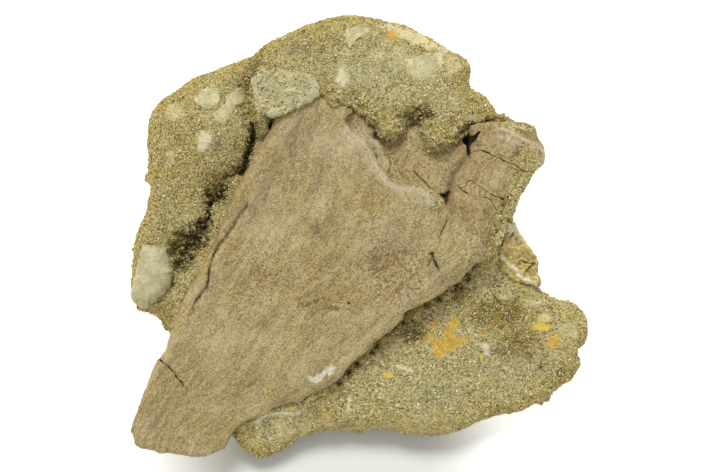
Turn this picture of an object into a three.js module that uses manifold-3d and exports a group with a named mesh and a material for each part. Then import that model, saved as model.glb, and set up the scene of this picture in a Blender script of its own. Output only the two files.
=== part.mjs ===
// A fossil dinosaur bone lying in its block of coarse sandstone, with the claystone pebbles and chips
// that were laid down in the same sand. Millimetres, +Z up: the block rests on a flat break at z = 0.
import * as THREE from "three";
import { mergeVertices } from "three/addons/utils/BufferGeometryUtils.js";
import Module from "manifold-3d";

const wasm = await Module();
wasm.setup();

// ---- Driving dimensions ----
// Everything is laid out in the frame of the block's face: a to the right, b up the face, c out of it.
const FACE_TILT = THREE.MathUtils.degToRad(15); // how far the face leans towards the front
const FACE_MIDDLE = new THREE.Vector3(0.45, -0.71, 41); // of the face, above the middle of the object's footprint
const PIECE_GAP = 0.3; // between pieces that touch

const BLOCK_LEVEL = -5; // the rock's face beside the bone
const BLOCK_CENTRE = new THREE.Vector2(-8, -1); // the spokes of the block's face start here
const BLOCK_SPOKES = 84;
const BLOCK_FACE_RINGS = 14;
const BLOCK_SIDE_RINGS = 5;
const RIM_ROUND = 8; // radius of the weathered edge
const BASE_SHARE = 0.8; // the flat break under the block, as a share of its outline
const BASE_SHIFT = -7; // and how far down the face it lies

const BONE_LEVEL = 5.5; // the blade's broad face
const BONE_THICK = 14;
const BONE_EDGE_ROLL = 5; // how far the face turns down at the blade's long edges
const BONE_UNDER_ROLL = 3;
const BONE_STEPS_ALONG = 28;
const BONE_STEPS_ACROSS = 12;
const CRACK_DEPTH = 60; // half the length of the prisms that part the strut's pieces

// ---- Outlines, counterclockwise, as [a, b] ----
const BLOCK_OUTLINE = [
  [-4, 89], [-12, 87.5], [-18.5, 86], [-28.5, 81.5], [-37, 77.5], [-42, 73.5], [-48.5, 71], [-58.5, 67],
  [-68.5, 63], [-74.5, 58], [-79, 55], [-83, 51], [-85, 45], [-86, 35], [-85, 21.5], [-87, 9], [-91, -2],
  [-92.3, -11], [-92.3, -22], [-88.5, -29], [-81.5, -31.5], [-78, -37], [-70.5, -53], [-58.5, -69], [-50, -82],
  [-42.5, -88.5], [-37, -88.5], [-30.5, -85.5], [-24.5, -81], [-16, -78], [-0.5, -77.5], [9.5, -77.5],
  [21.5, -79.5], [37, -79.5], [45.5, -76], [55.5, -71.5], [63.5, -70.5], [73, -66], [78, -61], [85, -58],
  [88, -51.5], [87, -46], [90.5, -43], [93, -39], [91, -32.5], [86.5, -27], [79.5, -25], [72, -20.5],
  [69, -10], [65, -4], [61.5, 2], [60.5, 8], [63, 16], [66, 22], [69, 28], [70, 36], [68, 42], [63.5, 46],
  [55, 49.5], [49.5, 56], [43.5, 60], [43, 69], [39, 72.5], [31.5, 77.5], [23.5, 81.5], [15.5, 85], [3.5, 87.5],
];
// The bone's four sides meet at its corners: both long edges run from the top to the broken tip.
const BONE_LEFT = [
  [-33, 52], [-37, 41.5], [-42, 35], [-46, 26], [-50.5, 19], [-54, 10], [-57.5, 1], [-62.5, -9], [-69, -21],
  [-73.5, -31], [-77, -39], [-81.5, -49.5], [-86.5, -61], [-89.5, -69], [-92, -77],
];
const BONE_RIGHT = [
  [73, 33], [71.5, 27.5], [65, 26], [61.5, 24.5], [60, 19], [57.5, 13.5], [55, 9.5], [51.5, 2], [48.5, -5],
  [43.5, -11], [39.5, -17], [32.5, -23], [27, -25.5], [17.5, -29], [12.5, -35], [3.5, -44], [-4.5, -50],
  [-9, -56.5], [-16.5, -61.5], [-24.5, -66], [-34.5, -70], [-44.5, -74.5], [-50, -79.5], [-54.5, -84.5],
];
const BONE_TOP = [
  [-33, 52], [-25, 56], [-17, 58], [-8, 53], [2, 50], [10, 45], [24, 43], [38, 42], [46, 45], [57, 46],
  [66, 45], [70.5, 41], [73, 33],
];
const BONE_TIP = [[-92, -77], [-90, -83], [-84.5, -85.5], [-72.5, -87], [-62.5, -88], [-54.5, -84.5]];
const STRUT_CREST = [[66, 37], [59, 30], [53, 18], [47, 4], [37, -11], [24, -21], [12, -32], [0, -44]];

// The cracks that go right through the strut, from its left side to past its right side.
const UPPER_CRACK = [[43, 34], [50.5, 33.5], [53.5, 32], [56.5, 30.5], [60, 28.5], [65, 26], [80, 18]];
const MIDDLE_CRACK = [[40, 19], [44.5, 21.5], [47.5, 19.5], [51, 17], [53.5, 15], [58, 14.5], [66, 13]];
const LOWER_CRACK = [[40, 18.5], [43, 16], [47, 15.5], [51, 15], [52.5, 13], [54.5, 9.5], [57, 2]];
const STRUT_VALLEY = [[43, 34], [37.5, 25.5], [36.5, 22.5]];

const CREVICE = [[-38, 71], [-43.5, 60], [-44, 50], [-43, 43], [-45, 34], [-47, 27]];
const HOLLOW = [[-48, 27], [-55, 21], [-61, 12], [-68, 2], [-73, -7], [-76, -14]];

// ---- Curves and distances ----
const flat = (points) => points.map(([a, b]) => new THREE.Vector3(a, b, 0));
const openCurve = (points) => new THREE.CatmullRomCurve3(flat(points), false, "centripetal");
const closedCurve = (points) => new THREE.CatmullRomCurve3(flat(points), true, "centripetal");

// A function that gives the distance from (a, b) to a path.
function distanceTo(path) {
  const samples = openCurve(path).getSpacedPoints(60);
  return (a, b) => Math.min(...samples.map((p) => Math.hypot(p.x - a, p.y - b)));
}

// A hummock (or, with a negative height, a hollow) of Gaussian section.
const hummock = (a, b, [middleA, middleB], [reachA, reachB], height) =>
  height * Math.exp(-(((a - middleA) / reachA) ** 2) - ((b - middleB) / reachB) ** 2);

const smooth = (low, high, x) => THREE.MathUtils.smoothstep(x, low, high);

// Moves a counterclockwise loop outwards by a distance, along the mean normal at each point.
function offsetLoop(loop, distance) {
  return loop.map((p, i) => {
    const before = loop[(i + loop.length - 1) % loop.length];
    const after = loop[(i + 1) % loop.length];
    const along = after.clone().sub(before).normalize();
    return new THREE.Vector3(p.x + along.y * distance, p.y - along.x * distance, p.z);
  });
}

// ---- Heights of the face ----
const toCrevice = distanceTo(CREVICE);
const toHollow = distanceTo(HOLLOW);
const toStrutCrest = distanceTo(STRUT_CREST);

// The lower edge of the rock that covers the top of the bone falls to the right, as far as the strut.
function crownEdge(a) {
  const fall = -0.27 * THREE.MathUtils.clamp(a + 14, 0, 52);
  const notch = 8 * Math.exp(-(((a + 18) / 5) ** 2));
  return 47 + fall + notch + 14 * smooth(39, 45, a);
}

function rockHeight(a, b) {
  const crown = 13 * smooth(crownEdge(a) - 2, crownEdge(a) + 5, b) * smooth(-50, -36, a);
  const brow = hummock(a, b, [-66, 44], [17, 21], 12);
  const leftBlock = hummock(a, b, [-85, 12], [9, 18], 6);
  const lowerFace = hummock(a, b, [28, -62], [36, 14], 3);
  const rightFall = -0.12 * Math.max(a - 45, 0) * smooth(20, -5, b);
  const strutShelf = hummock(a, b, [66, 34], [9, 16], 4);
  const crevice = -11 * Math.exp(-((toCrevice(a, b) / 5) ** 2));
  const hollow = -8 * Math.exp(-((toHollow(a, b) / 9) ** 2));
  return BLOCK_LEVEL + crown + brow + leftBlock + lowerFace + rightFall + strutShelf + crevice + hollow;
}

function boneHeight(a, b) {
  const strut = 6 * Math.exp(-((toStrutCrest(a, b) / 9) ** 2)) * smooth(-48, -5, b);
  const bowl = hummock(a, b, [28, 29], [14, 11], -7);
  const tipFall = -2 * smooth(-40, -85, b);
  return BONE_LEVEL + strut + bowl + tipFall;
}

// ---- Geometry from rings and grids ----
function geometryOf(points, triangles) {
  const geometry = new THREE.BufferGeometry().setFromPoints(points);
  geometry.setIndex(triangles.flat());
  return geometry;
}

// A closed body from rings of equal count, each inside or under the last, capped by a point at each end.
function bodyOfRings(first, rings, last) {
  const count = rings[0].length;
  const triangles = [];
  const at = (ring, i) => 1 + ring * count + (i % count);
  const end = 1 + rings.length * count;
  for (let i = 0; i < count; i++) {
    triangles.push([0, at(0, i), at(0, i + 1)]);
    for (let ring = 0; ring + 1 < rings.length; ring++) {
      triangles.push([at(ring, i), at(ring + 1, i), at(ring + 1, i + 1)]);
      triangles.push([at(ring, i), at(ring + 1, i + 1), at(ring, i + 1)]);
    }
    triangles.push([at(rings.length - 1, i), end, at(rings.length - 1, i + 1)]);
  }
  return geometryOf([first, ...rings.flat(), last], triangles);
}

// The height, in the face's frame, of the ground under a point of the face.
function groundUnder(b) {
  return -(FACE_MIDDLE.z + b * Math.sin(FACE_TILT)) / Math.cos(FACE_TILT);
}

// The block: spokes from its middle to the rim over the face, then down the sides to the flat break.
function blockGeometry() {
  const rim = closedCurve(BLOCK_OUTLINE).getSpacedPoints(BLOCK_SPOKES).slice(0, BLOCK_SPOKES);
  const middle = new THREE.Vector3(BLOCK_CENTRE.x, BLOCK_CENTRE.y, 0);
  const rimDrop = (inside) => {
    const left = Math.max(RIM_ROUND - inside, 0);
    return RIM_ROUND - Math.sqrt(RIM_ROUND ** 2 - left ** 2);
  };
  const rings = [];
  for (let ring = 1; ring <= BLOCK_FACE_RINGS; ring++) {
    const share = Math.sin(((ring / BLOCK_FACE_RINGS) * Math.PI) / 2);
    rings.push(rim.map((p) => {
      const q = middle.clone().lerp(p, share);
      return q.setZ(rockHeight(q.x, q.y) - rimDrop(p.distanceTo(q)));
    }));
  }
  const rimRing = rings[BLOCK_FACE_RINGS - 1];
  for (let ring = 1; ring <= BLOCK_SIDE_RINGS; ring++) {
    const down = ring / BLOCK_SIDE_RINGS;
    const share = 1 - (1 - BASE_SHARE) * down ** 1.8;
    rings.push(rimRing.map((p) => {
      const q = middle.clone().lerp(p, share);
      q.y += BASE_SHIFT * down;
      return q.setZ(THREE.MathUtils.lerp(p.z, groundUnder(q.y), down));
    }));
  }
  const bottom = middle.clone();
  bottom.y += BASE_SHIFT;
  bottom.z = groundUnder(bottom.y);
  middle.z = rockHeight(middle.x, middle.y);
  return bodyOfRings(middle, rings, bottom);
}

// The whole bone: its four sides are blended across a grid, whose top and underside turn in at the edges.
function boneGeometry(grow) {
  const steps = (count) => Array.from({ length: count + 1 }, (_, i) => i / count);
  const along = steps(BONE_STEPS_ALONG);
  const across = steps(BONE_STEPS_ACROSS).map((t) => (1 - Math.cos(Math.PI * t)) / 2);
  const sample = (side, shares) => shares.map((t) => openCurve(side).getPointAt(t));
  const loop = [
    ...sample(BONE_LEFT, along).slice(0, -1),
    ...sample(BONE_TIP, across).slice(0, -1),
    ...sample(BONE_RIGHT, along).reverse().slice(0, -1),
    ...sample(BONE_TOP, across).reverse().slice(0, -1),
  ];
  const grown = offsetLoop(loop, grow);
  const [n, m] = [BONE_STEPS_ALONG, BONE_STEPS_ACROSS];
  const left = (i) => grown[i];
  const tip = (j) => grown[n + j];
  const right = (i) => grown[n + m + (n - i)];
  const top = (j) => grown[(2 * n + m + (m - j)) % grown.length];
  const roll = (t) => 1 - Math.sqrt(1 - Math.abs(2 * t - 1) ** 5);
  const upper = [];
  const lower = [];
  for (let i = 0; i <= n; i++) {
    for (let j = 0; j <= m; j++) {
      const [u, v] = [along[i], across[j]];
      const p = new THREE.Vector3()
        .addScaledVector(left(i), 1 - v).addScaledVector(right(i), v)
        .addScaledVector(top(j), 1 - u).addScaledVector(tip(j), u)
        .addScaledVector(left(0), -(1 - u) * (1 - v)).addScaledVector(right(0), -(1 - u) * v)
        .addScaledVector(left(n), -u * (1 - v)).addScaledVector(right(n), -u * v);
      const turned = Math.max(roll(v), 0.7 * roll(u) ** 2);
      const height = boneHeight(p.x, p.y);
      upper.push(p.clone().setZ(height - BONE_EDGE_ROLL * turned + grow));
      lower.push(p.clone().setZ(BONE_LEVEL - BONE_THICK + BONE_UNDER_ROLL * turned - grow));
    }
  }
  const at = (i, j) => i * (m + 1) + j;
  const under = (i, j) => upper.length + at(i, j);
  const triangles = [];
  const quad = (p, q, r, s) => triangles.push([p, q, r], [p, r, s]);
  for (let i = 0; i < n; i++) {
    for (let j = 0; j < m; j++) {
      quad(at(i, j), at(i + 1, j), at(i + 1, j + 1), at(i, j + 1));
      quad(under(i, j), under(i, j + 1), under(i + 1, j + 1), under(i + 1, j));
    }
    quad(at(i, 0), under(i, 0), under(i + 1, 0), at(i + 1, 0));
    quad(at(i, m), at(i + 1, m), under(i + 1, m), under(i, m));
  }
  for (let j = 0; j < m; j++) {
    quad(at(0, j), at(0, j + 1), under(0, j + 1), under(0, j));
    quad(at(n, j), under(n, j), under(n, j + 1), at(n, j + 1));
  }
  return geometryOf([...upper, ...lower], triangles);
}

// A prism through the face on a counterclockwise loop of points, moved outwards by a distance.
function prismGeometry(points, grow, from = -CRACK_DEPTH, to = CRACK_DEPTH) {
  const shape = new THREE.Shape(offsetLoop(flat(points), grow).map((p) => new THREE.Vector2(p.x, p.y)));
  return new THREE.ExtrudeGeometry(shape, { depth: to - from, bevelEnabled: false }).translate(0, 0, from);
}

// ---- Joining and cutting ----
function solidOf(geometry) {
  geometry.deleteAttribute("normal");
  geometry.deleteAttribute("uv");
  const merged = mergeVertices(geometry, 1e-4);
  return new wasm.Manifold(new wasm.Mesh({
    numProp: 3,
    vertProperties: merged.attributes.position.array,
    triVerts: new Uint32Array(merged.index.array),
  }));
}

function meshOf(name, solid, color, roughness) {
  const { vertProperties, triVerts } = solid.getMesh();
  const geometry = new THREE.BufferGeometry();
  geometry.setAttribute("position", new THREE.BufferAttribute(vertProperties, 3));
  geometry.setIndex(new THREE.BufferAttribute(triVerts, 1));
  geometry.computeVertexNormals();
  const mesh = new THREE.Mesh(geometry, new THREE.MeshStandardMaterial({ color, roughness, metalness: 0 }));
  mesh.name = name;
  return mesh;
}

// ---- The bone's pieces ----
const reversed = (points) => [...points].reverse();
const STRUT_REGIONS = {
  bone_strut_end: [...UPPER_CRACK, [80, 60], [43, 60]],
  bone_strut_middle: [...MIDDLE_CRACK, ...reversed(UPPER_CRACK), ...STRUT_VALLEY.slice(1)],
  bone_wedge_chip: [...LOWER_CRACK, ...reversed(MIDDLE_CRACK.slice(1))],
};

function bonePieces() {
  const whole = solidOf(boneGeometry(0));
  let blade = whole;
  const pieces = {};
  for (const [name, region] of Object.entries(STRUT_REGIONS)) {
    pieces[name] = whole.intersect(solidOf(prismGeometry(region, -PIECE_GAP / 2)));
    blade = blade.subtract(solidOf(prismGeometry(region, PIECE_GAP / 2)));
  }
  return { bone_blade: blade, ...pieces };
}

// ---- Pebbles and chips: rounded bodies set in the rock, [a, b, c], half sizes and turn in the face ----
const ROUNDED = {
  clay_pebble_left: { middle: [-84.2, -16, -6], half: [9, 14.3, 8], turn: 0.12, color: "#b7ae84" },
  clay_pebble_top: { middle: [-29.5, 57.5, 3], half: [13.6, 10.4, 7.5], turn: 0.1, color: "#b8ae86" },
  clay_chip_crown: { middle: [23.5, 68.5, 6.6], half: [8.2, 5, 2], turn: 0.05, color: "#cfc596" },
  clay_chip_ridge: { middle: [-0.8, 80, 5.8], half: [5.6, 3.2, 2], turn: 0.35, color: "#ccc193" },
  clay_chip_brow_round: { middle: [-60.5, 55.5, 1.3], half: [5.4, 4.6, 2], turn: 0.2, color: "#d1c998" },
  clay_chip_brow_long: { middle: [-51.5, 54, -2], half: [4, 8, 2], turn: -0.55, color: "#c9c08e" },
};

function roundedGeometry({ middle, half, turn }, grow) {
  const [a, b, c] = half.map((size) => size + grow);
  const geometry = new THREE.SphereGeometry(1, 16, 8);
  geometry.rotateX(Math.PI / 2).scale(a, b, c).rotateZ(turn);
  return geometry.translate(...middle);
}

// The flaky clast fills the notch in the right edge: two layers, the upper one smaller.
const FLAKE_LOWER = [[56, 4], [55.8, -4], [58.5, -11], [64, -17.5], [72.3, -20], [72, -10.5], [67.8, -5],
  [64, 1.5], [60.5, 8]];
const FLAKE_UPPER = [[57, 1], [57, -4], [59.5, -10], [64.5, -15.5], [69.5, -17], [69, -10], [64.5, -4], [61, 2.5]];
const FLAKE_LEVELS = [-20, -10, -7.5];

function flakeSolid(grow) {
  const [low, middle, high] = FLAKE_LEVELS;
  const lower = solidOf(prismGeometry(FLAKE_LOWER, grow, low - grow, middle + grow));
  return lower.add(solidOf(prismGeometry(FLAKE_UPPER, grow, middle - 1, high + grow)));
}

// ---- The object ----
const face = new THREE.Group();
face.position.copy(FACE_MIDDLE);
face.rotation.x = FACE_TILT;

const boneSocket = solidOf(boneGeometry(PIECE_GAP));
const bone = bonePieces();
for (const [name, solid] of Object.entries(bone)) {
  face.add(meshOf(name, solid, "#a8976d", 0.82));
}

let block = solidOf(blockGeometry()).subtract(boneSocket).subtract(flakeSolid(PIECE_GAP));
for (const [name, stone] of Object.entries(ROUNDED)) {
  block = block.subtract(solidOf(roundedGeometry(stone, PIECE_GAP)));
  face.add(meshOf(name, solidOf(roundedGeometry(stone, 0)).subtract(boneSocket), stone.color, 0.75));
}
face.add(meshOf("clay_flake_right", flakeSolid(0).subtract(boneSocket), "#bcad74", 0.8));
face.add(meshOf("sandstone_matrix", block, "#a89c66", 0.95));

const fossil = new THREE.Group();
fossil.add(face);

export default fossil;
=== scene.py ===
import math
from itertools import product

import bpy
import numpy as np
from bpy.props import FloatProperty, FloatVectorProperty, PointerProperty
from mathutils import Matrix, Vector


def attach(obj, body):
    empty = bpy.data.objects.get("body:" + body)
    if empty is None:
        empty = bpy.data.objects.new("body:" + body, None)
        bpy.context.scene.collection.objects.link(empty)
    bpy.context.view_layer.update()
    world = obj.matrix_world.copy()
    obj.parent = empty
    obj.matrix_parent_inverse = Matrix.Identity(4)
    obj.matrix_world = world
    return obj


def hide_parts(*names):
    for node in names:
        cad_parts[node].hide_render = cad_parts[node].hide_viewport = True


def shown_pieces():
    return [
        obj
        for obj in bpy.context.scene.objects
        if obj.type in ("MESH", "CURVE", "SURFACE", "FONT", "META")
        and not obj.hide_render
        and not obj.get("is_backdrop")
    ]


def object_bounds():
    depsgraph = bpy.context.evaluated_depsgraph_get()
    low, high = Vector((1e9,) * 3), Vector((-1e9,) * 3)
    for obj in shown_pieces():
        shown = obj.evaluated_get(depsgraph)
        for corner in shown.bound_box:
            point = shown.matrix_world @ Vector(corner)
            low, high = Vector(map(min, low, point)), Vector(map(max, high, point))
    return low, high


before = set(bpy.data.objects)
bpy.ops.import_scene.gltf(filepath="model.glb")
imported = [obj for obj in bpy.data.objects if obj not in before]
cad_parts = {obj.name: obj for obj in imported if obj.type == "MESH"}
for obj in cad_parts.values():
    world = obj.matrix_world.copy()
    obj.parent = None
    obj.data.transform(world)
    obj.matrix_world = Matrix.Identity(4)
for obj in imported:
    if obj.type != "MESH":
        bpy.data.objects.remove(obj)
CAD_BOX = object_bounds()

bl_info = {
    "name": "Fossil bone in sandstone",
    "version": (1, 0, 0),
    "blender": (4, 5, 0),
    "location": "3D View > Sidebar > Fossil",
    "description": "Builds a dinosaur bone lying in its block of sandstone, with pebbles of claystone",
    "category": "Object",
}

MM = 0.001
LOW, HIGH = (np.array(corner) for corner in CAD_BOX)

# ---- The frame of the block's face, in millimetres: a to the right, b up the face, c out of it ----
FACE_TILT = math.radians(15)
FACE_FROM_FOOTPRINT = np.array([0.45, -0.71, 41.0])  # the face's middle, from the middle of the footprint
FACE_MIDDLE = np.array([*(LOW + HIGH)[:2] / 2, LOW[2]]) + FACE_FROM_FOOTPRINT * MM
FACE_AXES = np.array([
    [1, 0, 0],
    [0, math.cos(FACE_TILT), math.sin(FACE_TILT)],
    [0, -math.sin(FACE_TILT), math.cos(FACE_TILT)],
])

# ---- Outlines, as (a, b) ----
BLOCK_CENTRE = np.array([-8.0, -1.0])
BLOCK_OUTLINE = [
    (-4, 89), (-12, 87.5), (-18.5, 86), (-28.5, 81.5), (-37, 77.5), (-42, 73.5), (-48.5, 71), (-58.5, 67),
    (-68.5, 63), (-74.5, 58), (-79, 55), (-83, 51), (-85, 45), (-86, 35), (-84.2, 21.5), (-87, 9),
    (-91, -2), (-92.3, -11), (-92.3, -22), (-88.5, -29), (-81.5, -31.5), (-78, -37), (-70.5, -53),
    (-58.5, -69), (-50, -82), (-42.5, -88.5), (-37, -88.5), (-30.5, -85.5), (-24.5, -81), (-16, -78),
    (-0.5, -77.5), (9.5, -77.5), (21.5, -79.5), (37, -79.5), (45.5, -76), (55.5, -71.5), (63.5, -70.5),
    (73, -66), (78, -61), (85, -58), (89, -51.5), (88.4, -46.4), (91, -43), (92.6, -38.5), (91, -32.6),
    (87, -28), (79.5, -26), (72, -21.2), (69, -10), (65, -4), (61.5, 2), (60.5, 8), (63, 16), (66, 22),
    (69, 28), (70, 36), (68, 42), (63.5, 46), (55, 49.5), (49.5, 56), (43.5, 60), (43, 69), (39, 72.5),
    (31.5, 77.5), (23.5, 81.5), (15.5, 85), (3.5, 87.5),
]
# The rock's lower edge over the top of the bone, from left to right.
CONTACT = [
    (-37, 46), (-33, 48.5), (-25, 51), (-17, 54.5), (-15.4, 51), (-14.2, 46.6), (-10.4, 46.2), (-6.4, 47.4),
    (-2, 46.6), (2, 44.4), (5, 42.4), (6.2, 39.6), (8, 38.3), (10.5, 37.5), (13.6, 37.6), (16, 39.2),
    (18, 40.6), (19, 43.6), (21, 44.8), (22.8, 43.4), (23.4, 39.6), (24.6, 35.6), (26.6, 33.6), (30, 32.8),
    (33.6, 33.8), (38.8, 36), (40, 38.4), (41.2, 41.2), (43.6, 42.4), (46.8, 42.8), (49.6, 44),
    (52.8, 44.8), (57, 44), (61.6, 43.6), (65.6, 44), (69, 41.5),
]
BONE_LEFT = [
    (-33, 52), (-37, 41.5), (-42, 35), (-46, 26), (-50.5, 19), (-54, 10), (-57.5, 1), (-62.5, -9),
    (-69, -21), (-73.5, -31), (-76.5, -38.5), (-78, -44.5), (-81.5, -49.5), (-86.5, -61), (-89.5, -69),
    (-92, -77),
]
BONE_TIP = [(-92, -77), (-90, -83), (-84.5, -85.5), (-72.5, -87), (-62.5, -88), (-54.5, -84.5)]
BONE_RIGHT = [
    (54.5, 9.5), (52.8, 3), (51.4, -3.4), (49.8, -7), (46.8, -10), (43.6, -12.4), (40.8, -15.2),
    (38.8, -17.6), (36.4, -19.2), (33.2, -21.6), (30.8, -23.2), (27.6, -25.2), (24, -26.8), (20.4, -28.4),
    (17.6, -30.4), (15.6, -33.6), (12.4, -36.8), (9.2, -39.2), (6, -41.6), (3.6, -44), (-0.4, -47.6),
    (-3.6, -50.4), (-6.4, -53.6), (-8.4, -56.4), (-10.4, -57.8), (-14.4, -60.4), (-18.4, -61.8), (-22, -64),
    (-24.4, -65.6), (-30.4, -66.6), (-34.4, -68.2), (-37.6, -70.4), (-41.2, -72), (-44.4, -73),
    (-48.4, -75), (-50.8, -77.4), (-52.6, -80.6), (-54.5, -84.5),
]
BLADE_TOP = [(-33, 52), (-25, 56), (-17, 58), (-8, 53), (2, 50), (10, 45), (24, 46), (38, 43), (42.6, 41)]
STRUT_TOP = [
    (43, 44.5), (46, 45), (57, 46), (63.6, 45.8), (66.8, 44.9), (69.2, 43.4), (70, 41.2), (70.8, 38.4),
    (72.4, 36.2), (73.2, 33.6),
]
STRUT_END_RIGHT = [(73.2, 33.6), (73.3, 30.8), (72.4, 28.8), (70.4, 27.6), (68.4, 26.4), (65, 25.8)]
STRUT_MIDDLE_RIGHT = [(65, 25.8), (61.4, 25), (60.2, 22), (59.4, 18.5), (58, 14.4)]
STRUT_SLIT = [(43, 44.5), (42.6, 41), (42.6, 37), (43, 33)]
STRUT_VALLEY = [(43, 33), (40.5, 29), (37.5, 25), (36.5, 22)]
STRUT_CREST = [(66, 37), (59, 30), (53, 18), (47, 4), (37, -11), (24, -21), (12, -32), (0, -44)]
END_CREST = [
    (46, 44.5), (51, 44), (55.6, 42.6), (59.6, 41.2), (63.6, 38.6), (67.6, 36.6), (71.4, 34.6), (74, 31),
]
STRUT_FOOT = [(43, 60), (42.6, 41), (43, 33), (37.5, 25), (35.5, 19), (34.3, 6.5), (31.1, -0.4), (28.4, -6.3)]
# The cracks that go right through the strut, from its left side to its right side.
UPPER_CRACK = [
    (43, 33), (45.6, 34), (49.6, 33.6), (52.4, 32), (55.6, 30.4), (58.8, 29.2), (61.2, 28), (65, 25.8),
]
MIDDLE_CRACK = [
    (40, 19), (41.6, 20.4), (43.2, 22.2), (44.8, 21.2), (47.6, 19.6), (50.8, 17.2), (52.8, 16),
    (55.6, 15.2), (58, 14.4),
]
LOWER_CRACK = [(40, 18.6), (42.8, 16.4), (46.8, 15.6), (50.4, 15.2), (52.4, 12.8), (54.5, 9.5)]
# The broken edge of the blade's outer layer, and the bowl that it leaves open beyond it.
LIP = [
    (-6.4, 45.5), (-1, 40), (4, 35.2), (6.2, 31), (8.4, 26.8), (11, 23.2), (14, 20.8), (17.5, 20),
    (21.6, 20.4), (25.6, 18.8), (28.8, 16),
]
BOWL = [*LIP, (33, 15.2), (36, 21.5), (40, 29), (42.6, 33.5), (42.4, 43), (30, 54), (5, 56)]
EDGE_GROOVE = [
    (-45.2, 12.8), (-49.2, 7.6), (-51.8, 2.8), (-56, -2.4), (-58.8, -7.2), (-60.6, -13.6), (-60.9, -17.6),
    (-61.8, -20.7), (-65.3, -24.8), (-68.8, -31.8),
]
EDGE_PITS = [  # in the rock along the bone's right edge: middle, reach
    (42.8, -16.4, 1.8), (39, -20.4, 2), (31.2, -25, 1.3), (26.2, -27.6, 1.4), (16.8, -34.6, 1),
    (6, -43.8, 1.3), (4.4, -46.2, 1.3), (-1.4, -50.8, 1.2), (-4.8, -54.4, 1.4), (-8.8, -58.8, 0.9),
]
# The crown's lower edge, carried on past the bone at both ends.
CROWN_EDGE = [(-50, 40), *CONTACT, (76, 39)]
CREVICE = [
    (-41.5, 69), (-44.6, 63), (-45.6, 57.6), (-44, 52), (-43.2, 46), (-43.2, 41.6), (-44.8, 35.6),
    (-46.4, 30), (-48, 25.6),
]
DENTS = [  # of the hollow beside the bone: depth, middle, half sizes, turn
    (4, (-52, 24.5), (1.6, 3.6), -0.9), (9, (-57.2, 16.6), (3, 5.4), -0.7),
    (7, (-61.4, 12), (1.3, 6), -0.05), (8, (-63.4, 5.4), (2, 3.4), -0.5),
    (11, (-65.4, -0.8), (3.4, 5), -0.5), (12, (-70, -3.4), (4.4, 5), 0), (8, (-74.6, -7.4), (2, 4), 0.3),
    (6, (-71.6, -8), (3, 2.4), 0), (4, (-76.5, -15), (1.4, 5), 0.1), (6, (-72, -11), (3, 5), -0.4),
]
PEBBLE_LEFT = [
    (-85.2, -1.8), (-88, -3.6), (-89.4, -8.4), (-90.8, -15), (-92.2, -20.8), (-92.4, -24.2), (-90, -27.6),
    (-87, -29.2), (-83, -26.4), (-79.4, -23), (-76.2, -18.4), (-75.6, -14.2), (-77, -10), (-78.2, -6),
    (-80.4, -3.2),
]
PEBBLE_TOP = [
    (-43.2, 58), (-41.8, 54), (-39.4, 50), (-36, 47.4), (-32, 48), (-26.8, 50.8), (-20.6, 53),
    (-16.8, 56.4), (-16.2, 59.8), (-17.4, 62.8), (-21.6, 65), (-26, 65.6), (-30.4, 66.8), (-35.2, 67),
    (-40.4, 65.4), (-43.2, 62),
]
PEBBLE_CORE = [  # middle, half sizes, turn
    (-34.8, 57.2, 6.6, 7.4, 0.3), (-27.6, 54.4, 5.4, 3.0, 0.4), (-23.2, 60.2, 2.8, 4.4, 0.5),
]
FLAKE = [
    (57.6, 8), (56, 2), (54.4, -4), (55.2, -10), (56.6, -14), (60.4, -17.8), (66, -19), (72.4, -19.8),
    (71.6, -13.8), (70.6, -8), (67.4, -3.4), (64, 1.2), (61.2, 5.8),
]
FLAKE_RIM = [
    (57.6, 7.4), (55.8, 1.4), (54.8, -3.6), (56, -7.6), (59.4, -10.8), (62.6, -13.4), (64.6, -16.4),
    (70.6, -19),
]
FLAKE_SLITS = [  # path, half width
    ([(57.2, -0.4), (56.2, -3.2)], 0.4), ([(69.4, -11), (66.8, -13.4), (65.4, -16.6)], 0.3),
    ([(64.6, -9.6), (67, -10.4), (69.6, -10.6)], 0.2), ([(61, 1.4), (59.4, -1)], 0.2),
]


# ---- Curves ----
def unit(vectors):
    """The vectors of length one in the same directions."""
    return vectors / np.maximum(np.linalg.norm(vectors, axis=-1, keepdims=True), 1e-9)


def arc_lengths(line):
    """How far along a polyline each of its points is."""
    return np.concatenate([[0], np.cumsum(np.linalg.norm(np.diff(line, axis=0), axis=1))])


def resampled(line, count, closed=False):
    """The points at equal steps of arc length along a polyline."""
    if closed:
        line = np.vstack([line, line[:1]])
    lengths = arc_lengths(line)
    steps = np.linspace(0, lengths[-1], count, endpoint=not closed)
    return np.column_stack([np.interp(steps, lengths, line[:, axis]) for axis in range(line.shape[1])])


def spline(points, count, closed=False):
    """A centripetal Catmull-Rom curve: a cubic between each two points, whose slopes at them come from
    their neighbours, each weighed by the square root of its distance."""
    knots = np.array(points, float)
    if closed:
        knots = np.vstack([knots[-1], knots, knots[:2]])
    else:
        knots = np.vstack([2 * knots[0] - knots[1], knots, 2 * knots[-1] - knots[-2]])
    p0, p1, p2, p3 = knots[:-3], knots[1:-2], knots[2:-1], knots[3:]
    d0, d1, d2 = (np.sqrt(np.linalg.norm(q - p, axis=1))[:, None] for p, q in ((p0, p1), (p1, p2), (p2, p3)))
    start = d1 * ((p1 - p0) / d0 - (p2 - p0) / (d0 + d1)) + p2 - p1
    end = d1 * ((p3 - p2) / d2 - (p3 - p1) / (d1 + d2)) + p2 - p1
    t = np.linspace(0, 1, 25)[:-1, None, None]
    cubic = (2 * t**3 - 3 * t**2 + 1) * p1 + (t**3 - 2 * t**2 + t) * start
    cubic = cubic + (3 * t**2 - 2 * t**3) * p2 + (t**3 - t**2) * end
    line = cubic.transpose(1, 0, 2).reshape(-1, 2)
    if not closed:
        line = np.vstack([line, p2[-1:]])
    return resampled(line, count, closed)


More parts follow.
